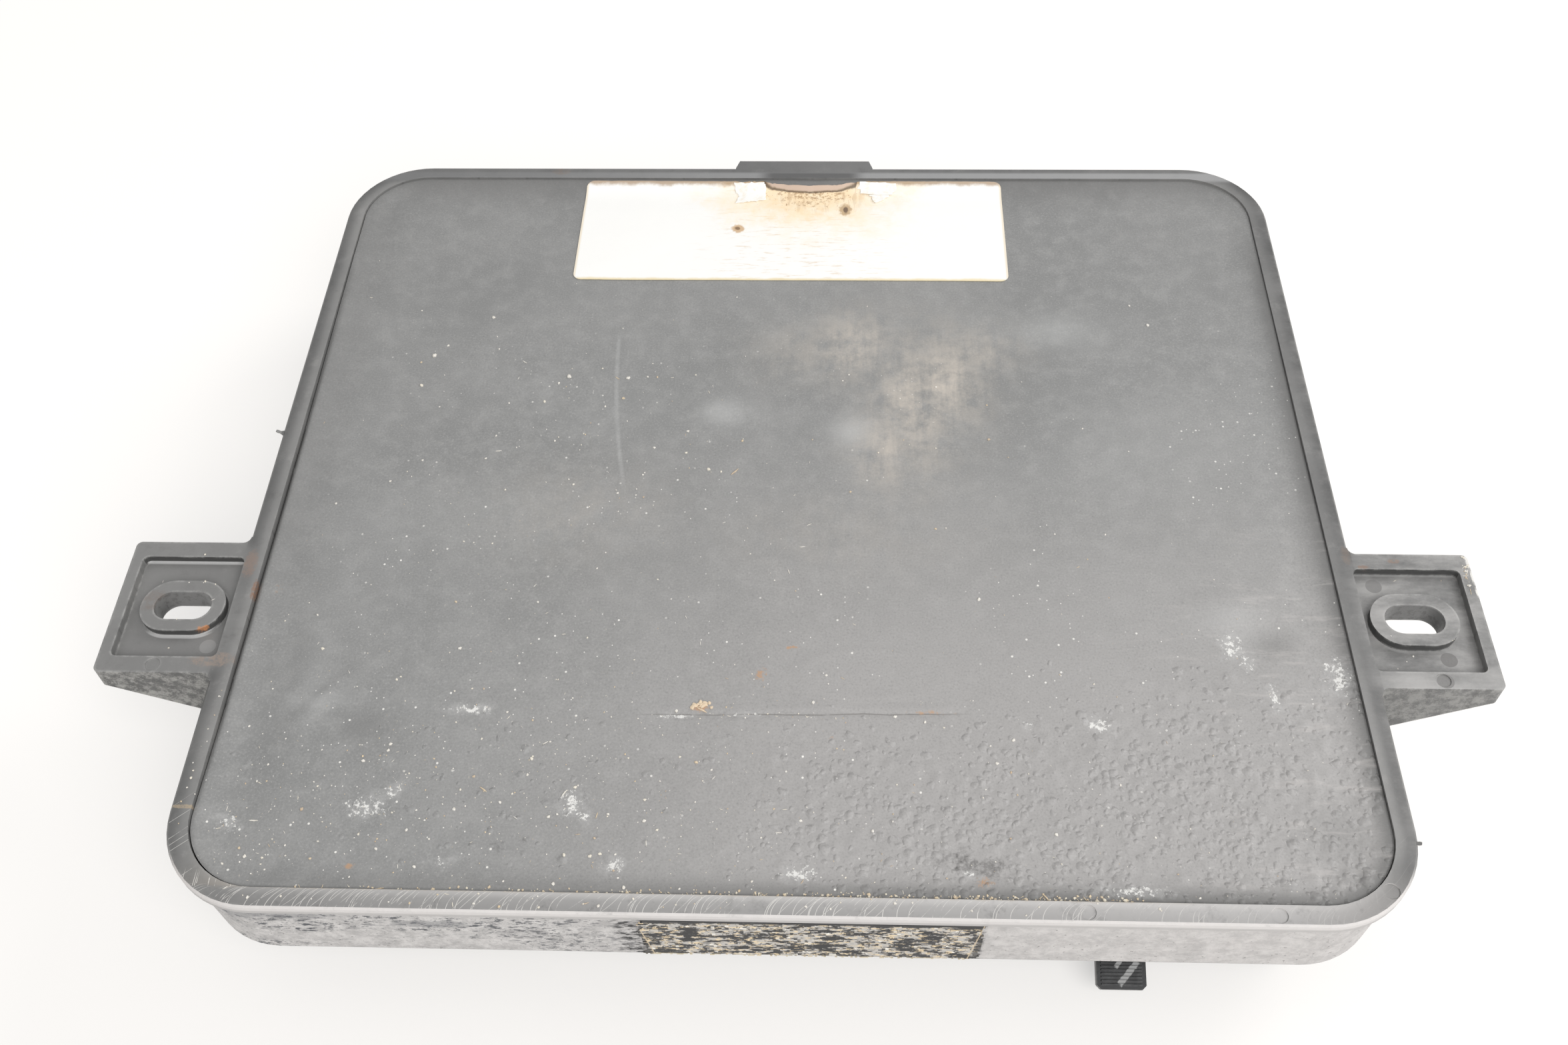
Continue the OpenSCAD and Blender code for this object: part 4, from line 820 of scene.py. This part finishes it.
# The lap line of the second pour: a fine crease with tan dust in it, painted dark along its line as
# painted shade, open in places.
fold = y + 57.1 * mm - x * 0.017 + (noise(place, 90, 3) - 0.5) * (0.9 * mm)
folded = fade_mm(x, -30, -22) * fade_mm(x, 36, 26) * fade(noise(place, 210, 3), 0.34, 0.46)
crease_shade = fade_mm(abs(fold), 0.20, 0.06) * folded
body = paint(crease_shade * 0.55, body, (0.13, 0.12, 0.11))
# Wiping cloths and cables left faint pale drags towards the right edge.
dragged = streaked(place, (70, 420, 1), 0.53, 0.14) * fade_mm(x, 50, 96) * fade_mm(y, 0, -34)
body = paint(dragged * 0.30, body, (0.56, 0.53, 0.51))
brush = streaked(place, (420, 60, 1), 0.36, 0.30)
dabbed = fade(noise(place, 190, 7, 0.72), 0.34, 0.64)
brush = brush * 0.30 + dabbed * 0.62
body = paint(smudge * brush, body, (0.57, 0.515, 0.45))


def broken(share, scale, low, high):
    """A painted share broken up by noise, so that it ends in crumbs and not in a soft edge."""
    ragged = noise(place, scale, 5, 0.7) + share * 0.5
    return fade(ragged, low, high) * fade(share, 0.08, 0.3)


body = paint(broken(dark, 1000, 0.72, 1.10) * 0.7, body, (0.095, 0.09, 0.086))
body = paint(broken(rusty, 1300, 0.68, 0.92) * 0.9, body, (0.47, 0.30, 0.19))
dusted = broken(chalk, 420, 0.70, 1.05)
body = paint(dusted * 0.28, body, (0.56, 0.555, 0.545))
chalky = broken(chalk, 1250, 0.90, 0.98)
body = paint(chalky * 0.88, body, (0.80, 0.79, 0.76))


def cells(where, scale):
    """A flat cell pattern: how far a place is from its cell's point, and the cell's three chances."""
    made = gives(where, "TexVoronoi", {"Vector": where, "Scale": scale}, voronoi_dimensions="2D")
    return made["Distance"], gives(where, "SeparateColor", {0: made["Color"]}).values()


# Pin-prick specks: the points of a cell pattern, a share of them kept.
specks = 0.0
for scale, radius, share in ((330, 0.062, 0.92), (760, 0.08, 0.94)):
    away, (lucky, _, _) = cells(place, scale)
    specks = larger(specks, fade(away, radius * 1.3, radius) * (lucky > share))
specks = specks * fade(noise(place, 38, 3), 0.44, 0.56) * fade_mm(y, 75, -10)
body = paint(specks * 0.85, body, (0.86, 0.84, 0.79))
feed(skin, "Base Color", body)
feed(skin, "Roughness", cloudy * 0.20 + 0.38 + chalky * 0.3)
height = noise(place, 900, 3) * 0.5 + noise(place, 260, 3)
relief(skin, height + chalky * 0.6, 0.12 * mm, 0.4)
pimply = give(place, "Attribute", output="Fac", attribute_name="pimply")
pimply = pimply * fade(noise(place, 70, 4, 0.65), 0.34, 0.56)
wander = give(place, "TexNoise", {"Vector": place, "Scale": 520, "Detail": 2}, "Color")
wander = give(place, "VectorMath", {0: wander, 1: (1.3 * mm, 1.3 * mm, 0), 2: place},
              operation="MULTIPLY_ADD")
bubbles = 0.0
for scale, thick in ((420, 0.6), (680, 0.75)):
    away, (lucky, big, _) = cells(wander, scale)
    radius = big * 0.30 + 0.22
    away = away / radius
    dome = larger(1 - away * away, 0.0)
    dome = dome ** 1.4 * (radius * (1000 / scale))
    kept = lucky < pimply * thick
    bubbles = larger(bubbles, dome * kept)
relief(skin, bubbles, 0.32 * mm, 0.85)
clothe(potting, potting_skin)
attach(potting, "root")
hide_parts("potting_compound")


# TOP LABEL
# A cream paper label is stuck on the potting against the back of the rim. Its back edge is torn out
# in the middle: a tan strip curls up in front of the gap, the paper below it is browned by drips,
# and two flaps of the white face lift beside it.
low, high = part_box("top_label")
reach_x, reach_y = (high.x - low.x) / 2 / mm, (high.y - low.y) / 2 / mm - 0.25
mid_x, mid_y = (high.x + low.x) / 2 / mm, (high.y + low.y) / 2 / mm - 0.25
label_corner, paper_thick, flap_thick = 1.9, 0.14, 0.12
drop_from = high.z / mm + 3
label = flat_grid("top_paper_label", 180, 62, reach_x, reach_y)
points = read_points(label)
round_corners(points, reach_x, reach_y, label_corner)
points += (mid_x, mid_y, drop_from)
dice = np.random.default_rng(11)
tear_mid, tear_half, tear_deep, back = 1.7, 11.4, 1.9, mid_y + reach_y
jag = np.convolve(dice.normal(0, 1, 420), np.ones(6) / 6, "same")


def torn_line(x):
    """How far back the paper still reaches at a place along the torn edge, in millimetres."""
    bay = np.clip(1 - ((x - tear_mid) / tear_half) ** 2, 0, None)
    beside = np.exp(-((np.abs(x - tear_mid) - tear_half) / 5) ** 2)
    rough = np.interp(x, np.linspace(mid_x - reach_x, mid_x + reach_x, 420), jag)
    return back - tear_deep * bay ** 0.8 - np.abs(rough) * (0.12 + 0.7 * beside)


X, Y = points[:, 0], points[:, 1].copy()
points[:, 1] -= np.clip((Y - back + 13) / 13, 0, 1) ** 2 * (back - torn_line(X))
write_points(label, points)


def press_down(piece, ground, offset):
    """Lay a thin sheet straight down on what is below it."""
    modify(piece, "stuck_down", "SHRINKWRAP", target=ground, wrap_method="PROJECT", use_project_z=True,
           use_negative_direction=True, use_positive_direction=False, offset=offset)


press_down(label, potting, 0.10 * mm)
points = read_points(label)
X, Y = points[:, 0], points[:, 1]
in_bay = np.clip(1 - ((X - tear_mid) / tear_half) ** 2, 0, 1) ** 0.5
curl = in_bay * np.clip(1 - (torn_line(X) - Y) / 1.7, 0, 1)
points[:, 2] += 0.8 * curl ** 1.5 + 0.06 * np.sin(X * 1.1 + Y) * mound(2, 86, 16, 8)
write_points(label, points)
curled = label.data.attributes.new("curl", "FLOAT", "POINT")
curled.data.foreach_set("value", curl.astype(np.float32))


def thicken(piece, thickness):
    """Give a thin sheet its thickness, outwards, and smooth its faces."""
    modify(piece, "thickness", "SOLIDIFY", thickness=thickness, offset=1)
    bpy.ops.object.shade_smooth_by_angle(angle=math.radians(40))


thicken(label, paper_thick * mm)
cream, skin, place = finish("stained_cream_paper", 0.62)
x, y, _ = axes(place)
body = paint(noise(place, 60, 4), (0.96, 0.95, 0.915), (0.975, 0.97, 0.95))
fibre = streaked(place, (190, 1500, 1), 0.54, 0.12)
middle = fade_mm(abs(x + 1 * mm), 30, 8)
body = paint(fibre * middle * 0.5, body, (0.70, 0.50, 0.28))
# Browned paper under the tear: a soft tan cloud, brown specks that thin out forward, and drips.
near_tear = vector("SUBTRACT", place, (1.5 * mm, 92 * mm, 38.8 * mm))
near_tear = vector("MULTIPLY", near_tear, (1 / (36 * mm), 1 / (27 * mm), 0))
near_tear = fade(length(near_tear), 1.0, 0.0)
for scale, level, soft, share, tint in (
        (100, 0.42, 0.60, 0.85, (1.0, 0.84, 0.60)), (300, 0.70, 0.40, 0.6, (0.96, 0.70, 0.40)),
        (1150, 0.99, 0.12, 0.8, (0.42, 0.26, 0.13))):
    specked = noise(place, scale, 6, 0.72) + near_tear * 0.55
    body = paint(fade(specked, level, level + soft) * fade(near_tear, 0.0, 0.15) * share, body, tint)
for spot_x, spot_y, wide, deep, tint in (
        (-15.4, 76.4, 2.0, 1.9, (0.62, 0.40, 0.20)), (-15.6, 76.5, 0.9, 0.8, (0.20, 0.12, 0.06)),
        (10.2, 83.4, 2.0, 2.8, (0.52, 0.36, 0.20)), (10.3, 83.2, 0.8, 1.4, (0.14, 0.09, 0.06))):
    spot = stained(place, (spot_x, spot_y, 38.8), (wide, deep, 40), 900)
    body = paint(spot * 0.85, body, tint)
drips = streaked(place, (520, 110, 1), 0.53, 0.08)
below = fade_mm(y, 78, 90) * fade_mm(abs(x - 2 * mm), 15, 8)
body = paint(drips * below * 0.4, body, (0.42, 0.26, 0.13))
ragged = noise(place, 300, 4, 0.7) * (2.2 * mm)
top_line = fade_mm(y + ragged, 92.2, 93.7)
body = paint(top_line * 0.8, body, (0.40, 0.26, 0.14))
rolled = give(place, "Attribute", output="Fac", attribute_name="curl")
body = paint(fade(rolled, 0.15, 0.45), body, (0.62, 0.47, 0.37))
shadow_line = fade(rolled, 0.0, 0.12) * fade(rolled, 0.45, 0.2)
body = paint(shadow_line * 0.85, body, (0.09, 0.055, 0.035))
side = fade_mm(abs(x - mid_x * mm), reach_x - 0.7, reach_x - 0.2)
body = paint(side * 0.5, body, (0.78, 0.60, 0.34))
foot = fade_mm(y + noise(place, 210, 3) * (1.0 * mm), 60.3, 59.4)
body = paint(foot * 0.7, body, (0.80, 0.64, 0.30))
feed(skin, "Base Color", body)
relief(skin, noise(place, 1400, 3) + fibre * 0.4, 0.03 * mm, 0.5)
clothe(label, cream)
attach(label, "root")
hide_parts("top_label")
fresh, skin, place = finish("torn_white_paper", 0.75)
fuzz = noise(place, 700, 5, 0.7)
feed(skin, "Base Color", paint(fade(fuzz, 0.45, 0.75), (0.97, 0.96, 0.93), (0.90, 0.82, 0.68)))
relief(skin, fuzz, 0.06 * mm, 0.4)
for name, flap_x, flap_y, wide, deep, turn, lifted in (
        ("left_flap", -12.9, 89.2, 8.2, 7.2, 4, 0.14), ("right_flap", 17.8, 90.6, 10.4, 4.4, -4, 0.22),
        ("right_tip", 18.6, 88.2, 4.6, 3.4, 30, 0.16)):
    flap = flat_grid("label_" + name, 22, 16, wide / 2, deep / 2,
                     location=(flap_x * mm, flap_y * mm, 0), rotation=(0, 0, math.radians(turn)))
    points = read_points(flap)
    off = (points - (flap_x, flap_y, 0)) / (wide / 2, deep / 2, 1)
    ring = np.arctan2(off[:, 1], off[:, 0])
    ragged = np.interp(ring, np.linspace(-math.pi, math.pi, 60),
                       np.convolve(dice.normal(0, 0.22, 60), np.ones(7) / 7, "same"))
    spread = 0.86 + ragged * np.hypot(off[:, 0], off[:, 1])
    points[:, :2] = (flap_x, flap_y) + (points[:, :2] - (flap_x, flap_y)) * spread[:, None]
    points[:, 2] = drop_from
    write_points(flap, points)
    press_down(flap, label, 0.05 * mm)
    points = read_points(flap)
    curl = np.clip(-off[:, 1] * 0.5 + 0.5, 0, 1)
    points[:, 2] += lifted * curl ** 2 + 0.03 * np.sin(points[:, 0] * 1.3)
    write_points(flap, points)
    thicken(flap, flap_thick * mm)
    clothe(flap, fresh)
    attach(flap, "root")


# FRONT LABEL
# A thin black film label is stuck on the leaning front wall. Its print side has weathered to ochre
# and grey flecks, and its ends and lower edge are torn ragged.
low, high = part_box("front_label")
film_thick = 0.16
lean = math.atan2(high.y - low.y - 0.2 * mm, high.z - low.z)
film = flat_grid("front_film_label", 150, 40, (high.x - low.x) / 2 / mm,
                 (high.z - low.z) / math.cos(lean) / 2 / mm, rotation=(math.pi / 2 + lean, 0, 0),
                 location=(low + high) / 2)
end_jag = np.abs(np.convolve(dice.normal(0, 1.6, 60), np.ones(5) / 5, "same"))
foot_jag = np.abs(np.cumsum(dice.normal(0, 0.16, 300))) % 0.9
bpy.ops.object.mode_set(mode="EDIT")
bpy.ops.mesh.select_all(action="DESELECT")
bpy.ops.object.mode_set(mode="OBJECT")
for face in film.data.polygons:
    across = np.interp(face.center.z, (low.z, high.z), (0, 59))
    along = np.interp(face.center.x, (low.x, high.x), (0, 299))
    face.select = bool((face.center.x - low.x) / mm < end_jag[int(across)]
                       or (high.x - face.center.x) / mm < 0.45 * end_jag[59 - int(across)]
                       or (face.center.z - low.z) / mm < foot_jag[int(along)])
bpy.ops.object.mode_set(mode="EDIT")
bpy.ops.mesh.delete(type="FACE")
bpy.ops.object.mode_set(mode="OBJECT")
thicken(film, film_thick * mm)
black_film, skin, place = finish("weathered_black_film", 0.55)
x, _, z = axes(place)
blocks = vector("SNAP", place, (0.62 * mm, 200 * mm, 0.48 * mm))
body = paint(noise(place, 300, 4), (0.018, 0.018, 0.019), (0.050, 0.050, 0.052))
for where, stretch, level, tint, share in (
        (blocks, (300, 1, 560), 0.47, (0.56, 0.53, 0.49), 0.9),
        (place, (560, 1, 1300), 0.53, (0.80, 0.64, 0.41), 0.95),
        (blocks, (600, 1, 800), 0.59, (0.90, 0.86, 0.78), 0.9),
        (place, (210, 1, 480), 0.513, (0.014, 0.014, 0.015), 1.0),
        (place, (1100, 1, 900), 0.56, (0.020, 0.020, 0.021), 0.9)):
    flecks = streaked(where, stretch, level, 0.04)
    body = paint(flecks * share, body, tint)
worn_edge = noise(place, 700, 5, 0.7) * (1.4 * mm)
above = fade(z + worn_edge, high.z - 0.5 * mm, high.z + 0.3 * mm)
body = paint(above, body, (0.018, 0.018, 0.019))
below = fade(z - worn_edge, low.z + 0.3 * mm, low.z - 0.4 * mm)
body = paint(below * 0.8, body, (0.70, 0.60, 0.42))
# A dark margin at each end, with the pale line of a crease before it.
for end, inward, slant in ((low.x, 1, 0.14), (high.x, -1, -0.12)):
    leaning = x + (z - low.z) * slant
    inside = (leaning - end) * inward
    margin = fade_mm(inside + worn_edge, 2.8, 2.1)
    body = paint(margin * 0.8, body, (0.026, 0.025, 0.025))
    line = fade_mm(abs(inside - 2.1 * mm), 0.16, 0.06)
    body = paint(line * 0.8, body, (0.62, 0.50, 0.34))
feed(skin, "Base Color", body)
relief(skin, noise(vector("MULTIPLY", place, (300, 1, 1500)), 1.0, 4), 0.08 * mm, 0.6)
clothe(film, black_film)
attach(film, "root")
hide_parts("front_label")


# MOULDING FLASH
# Two thin tags of flash were never trimmed off the parting line: one on the left of the rim and one
# at its front right corner. Each is a thin tapered tongue that bends up from the edge.
flash_long, flash_thick = 1.9, 0.22


def turn_flat(points, angle):
    """Points turned about the upright axis."""
    c, s = math.cos(angle), math.sin(angle)
    return points @ np.array([[c, s, 0], [-s, c, 0], [0, 0, 1]])


for name, root_x, root_y, turn in (
        ("left_flash", -109.7, 10.1, 172), ("corner_flash", 108.6, -81.6, -14)):
    tag = flat_grid(name, 10, 6, 1, 1)
    points = read_points(tag)
    out, wide = (points[:, 0] + 1) / 2, points[:, 1].copy()
    points[:, 0] = flash_long * out
    points[:, 1] = (0.62 - 0.42 * out + 0.08 * np.sin(9 * out)) * wide
    points[:, 2] = 0.55 * out ** 2 + 0.06 * wide
    points = turn_flat(points, math.radians(turn)) + (root_x, root_y, 39.5)
    write_points(tag, points)
    thicken(tag, flash_thick * mm)
    clothe(tag, plastic)
    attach(tag, "root")


# GRIT
# Dry road grit and paint crumbs lie scattered over the potting and packed in the groove behind the
# front of the rim. One crumb is shaped and repeated, each a little different in size and turn.
bpy.ops.object.select_all(action="DESELECT")
bpy.ops.mesh.primitive_ico_sphere_add(subdivisions=1, radius=1)
crumb = bpy.context.object
bpy.ops.object.mode_set(mode="EDIT")
bpy.ops.mesh.select_all(action="SELECT")
bpy.ops.transform.vertex_random(offset=0.35, seed=5)
bpy.ops.transform.resize(value=(1, 0.75, 0.5))
bpy.ops.object.mode_set(mode="OBJECT")
shape = np.array([v.co for v in crumb.data.vertices])
sides = np.array([list(f.vertices) for f in crumb.data.polygons])
bpy.data.objects.remove(crumb)


def scatter(name, ground, places, sizes, tints):
    """One mesh of crumbs, each resting on the ground below its place, tinted through an attribute."""
    rest, corners, colours = [], [], []
    for (x, y), size, tint in zip(places, sizes, tints):
        hit, spot, _, _ = ground.ray_cast((x * mm, y * mm, 50 * mm), (0, 0, -1))
        if not hit:
            continue
        a = dice.uniform(0, 2 * math.pi)
        longer = shape * ((1, 1, 1) if dice.uniform() < 0.86 else (2.4, 0.42, 0.6))
        turned = turn_flat(longer, a)
        corners.append(sides + len(rest) * len(shape))
        rest.append(turned * size * mm + np.array(spot) + np.array([0, 0, 0.2 * size * mm]))
        colours.append(np.tile((*tint, 1), (len(shape), 1)))
    mesh = bpy.data.meshes.new(name)
    mesh.from_pydata(np.concatenate(rest).tolist(), [], np.concatenate(corners).tolist())
    tinted = mesh.attributes.new("tint", "FLOAT_COLOR", "POINT")
    tinted.data.foreach_set("color", np.concatenate(colours).astype(np.float32).ravel())
    piece = bpy.data.objects.new(name, mesh)
    bpy.context.scene.collection.objects.link(piece)
    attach(piece, "root")
    return piece


drifts = ((-60, -76, 34, 15, 620), (-20, -72, 40, 16, 240), (-30, 8, 20, 16, 80),
          (20, -20, 60, 36, 110), (-70, -20, 30, 34, 150), (70, -60, 30, 26, 80), (-96, -84, 8, 8, 70),
          (0, -88, 90, 3, 130), (-2, -57.6, 17, 0.5, 34))
spots = np.concatenate([dice.normal((x, y), (rx, ry), (count, 2)) for x, y, rx, ry, count in drifts])
spots = spots[(np.abs(spots[:, 0]) < half_w - 2) & (np.abs(spots[:, 1]) < half_d - 1)]
spots = spots[~((spots[:, 1] > 58) & (np.abs(spots[:, 0] + 2.6) < 52))]
palette = np.array([(0.90, 0.89, 0.86), (0.88, 0.84, 0.74), (0.70, 0.52, 0.30), (0.50, 0.34, 0.20)])
tints = palette[dice.choice(4, len(spots), p=(0.55, 0.25, 0.13, 0.07))]
sizes = np.clip(dice.lognormal(-2.2, 0.55, len(spots)), 0.055, 0.42)
sizes *= np.interp(spots[:, 1], (-45, 10), (1, 1.6))
flake = dice.normal((-16.4, -55.5), (1.0, 0.5), (20, 2))
spots, sizes = np.concatenate([spots, flake]), np.concatenate([sizes, dice.uniform(0.35, 0.6, 20)])
tints = np.concatenate([tints, np.tile((0.82, 0.60, 0.38), (20, 1))])
grit = scatter("road_grit", potting, spots, sizes, tints)
count = 380
groove = np.stack([-94 + 156 * np.sqrt(dice.uniform(0, 1, count)),
                   -half_d + np.abs(dice.normal(0.2, 0.4, count))], axis=1)
tints = np.array([(0.72, 0.56, 0.34), (0.60, 0.44, 0.26), (0.82, 0.76, 0.62)])[dice.choice(3, count)]
sizes = np.clip(dice.lognormal(-1.7, 0.4, count), 0.08, 0.45)
packed = scatter("packed_grit", potting, groove, sizes, tints)
crusty = np.concatenate([dice.uniform((-100, -96.6), (70, -93.9), (48, 2)),
                         dice.uniform((131.4, -29), (132.4, -20), (26, 2)),
                         dice.normal((-107.6, -66), (0.9, 9), (14, 2)),
                         dice.uniform((-128, -47), (-112, -21), (10, 2)),
                         dice.uniform((113, -47), (130, -21), (12, 2))])
tints = palette[dice.choice(4, len(crusty), p=(0.4, 0.35, 0.17, 0.08))]
sizes = np.clip(dice.lognormal(-1.7, 0.4, len(crusty)), 0.08, 0.4)
stray = scatter("rim_crumbs", housing, crusty, sizes, tints)
dry, skin, place = finish("dry_grit", 0.85)
tinted = give(place, "Attribute", {}, "Color", attribute_name="tint")
feed(skin, "Base Color", paint(noise(place, 3000, 2), tinted, (0.62, 0.56, 0.46)))
relief(skin, noise(place, 6000, 2), 0.05 * mm, 0.5)
for piece, slot in ((grit, "potting"), (packed, "potting"), (stray, "housing_plastic")):
    clothe(piece, dry)


# STUDIO
# A plain white table and soft light: the sky all round and one wide lamp from the front right.
bpy.ops.object.select_all(action="DESELECT")
bpy.ops.mesh.primitive_plane_add(size=12, location=(0, 0, -0.0002))
bpy.ops.object.transform_apply(location=True, rotation=True, scale=True)
table = bpy.context.object
table.name = "table"
white = bpy.data.materials.new("white_table")
white.use_nodes = True
tree = white.node_tree
tree.nodes.clear()
ray = gives(tree, "LightPath")
seen = larger(ray["Is Camera Ray"], larger(ray["Is Glossy Ray"], ray["Is Transmission Ray"]))
paper = give(tree, "BsdfDiffuse", {"Color": (0.80, 0.80, 0.80)})
place = give(tree, "TexCoord", output="Object")
far = fade(length(place), 0.30, 1.6)
behind = fade(give(tree, "SeparateXYZ", {0: place}, "Y"), -0.12, 0.0)
glow = far * 0.20 + behind * 0.07 + 0.50
shaded = give(tree, "BsdfDiffuse", {"Color": (0.50, 0.482, 0.462)})
lit = give(tree, "Emission", {"Color": (1, 0.995, 0.985), "Strength": glow})
shown = give(tree, "AddShader", {0: shaded, 1: lit})
both = give(tree, "MixShader", {0: seen, 1: paper, 2: shown})
# From below the table is open, so that the underside shows.
under = give(tree, "NewGeometry", output="Backfacing")
open_below = give(tree, "MixShader", {0: under, 1: both, 2: give(tree, "BsdfTransparent")})
put(tree, "OutputMaterial", {"Surface": open_below})
clothe(table, white)
sky = bpy.data.worlds.new("white_room")
bpy.context.scene.world = sky
sky.use_nodes = True
tree = sky.node_tree
tree.nodes.clear()
ray = gives(tree, "LightPath")
seen = larger(ray["Is Camera Ray"], ray["Is Transmission Ray"])
room, plain = (give(tree, "Background", {"Color": (1, 1, 1), "Strength": s}) for s in (0.54, 1.0))
both = give(tree, "MixShader", {0: seen, 1: room, 2: plain})
put(tree, "OutputWorld", {"Surface": both})


def soft_lamp(name, power, size, place, aim):
    lamp = bpy.data.lights.new(name, "AREA")
    lamp.energy = power
    lamp.shape = "DISK"
    lamp.size = size
    holder = bpy.data.objects.new(name, lamp)
    bpy.context.scene.collection.objects.link(holder)
    holder.location = place
    from_aim = [p - a for p, a in zip(place, aim)]
    flat = math.hypot(from_aim[0], from_aim[1])
    holder.rotation_euler = (math.atan2(flat, from_aim[2]), 0, math.atan2(from_aim[0], -from_aim[1]))


soft_lamp("wide_front_lamp", 9.0, 0.9, (0.35, -0.75, 0.85), (0, -0.03, 0.03))
soft_lamp("right_back_lamp", 5.0, 0.7, (0.95, 0.55, 0.75), (0, 0, 0.03))
lens = bpy.data.cameras.new("view")
lens.lens = 35.20
lens.sensor_width = 36
camera = bpy.data.objects.new("view", lens)
bpy.context.scene.collection.objects.link(camera)
camera.location = (0.00825, -0.2030, 0.2861)
camera.rotation_euler = tuple(math.radians(a) for a in (37.68, 1.15, 1.58))
bpy.context.scene.camera = camera
bpy.context.scene.view_settings.view_transform = "Standard"
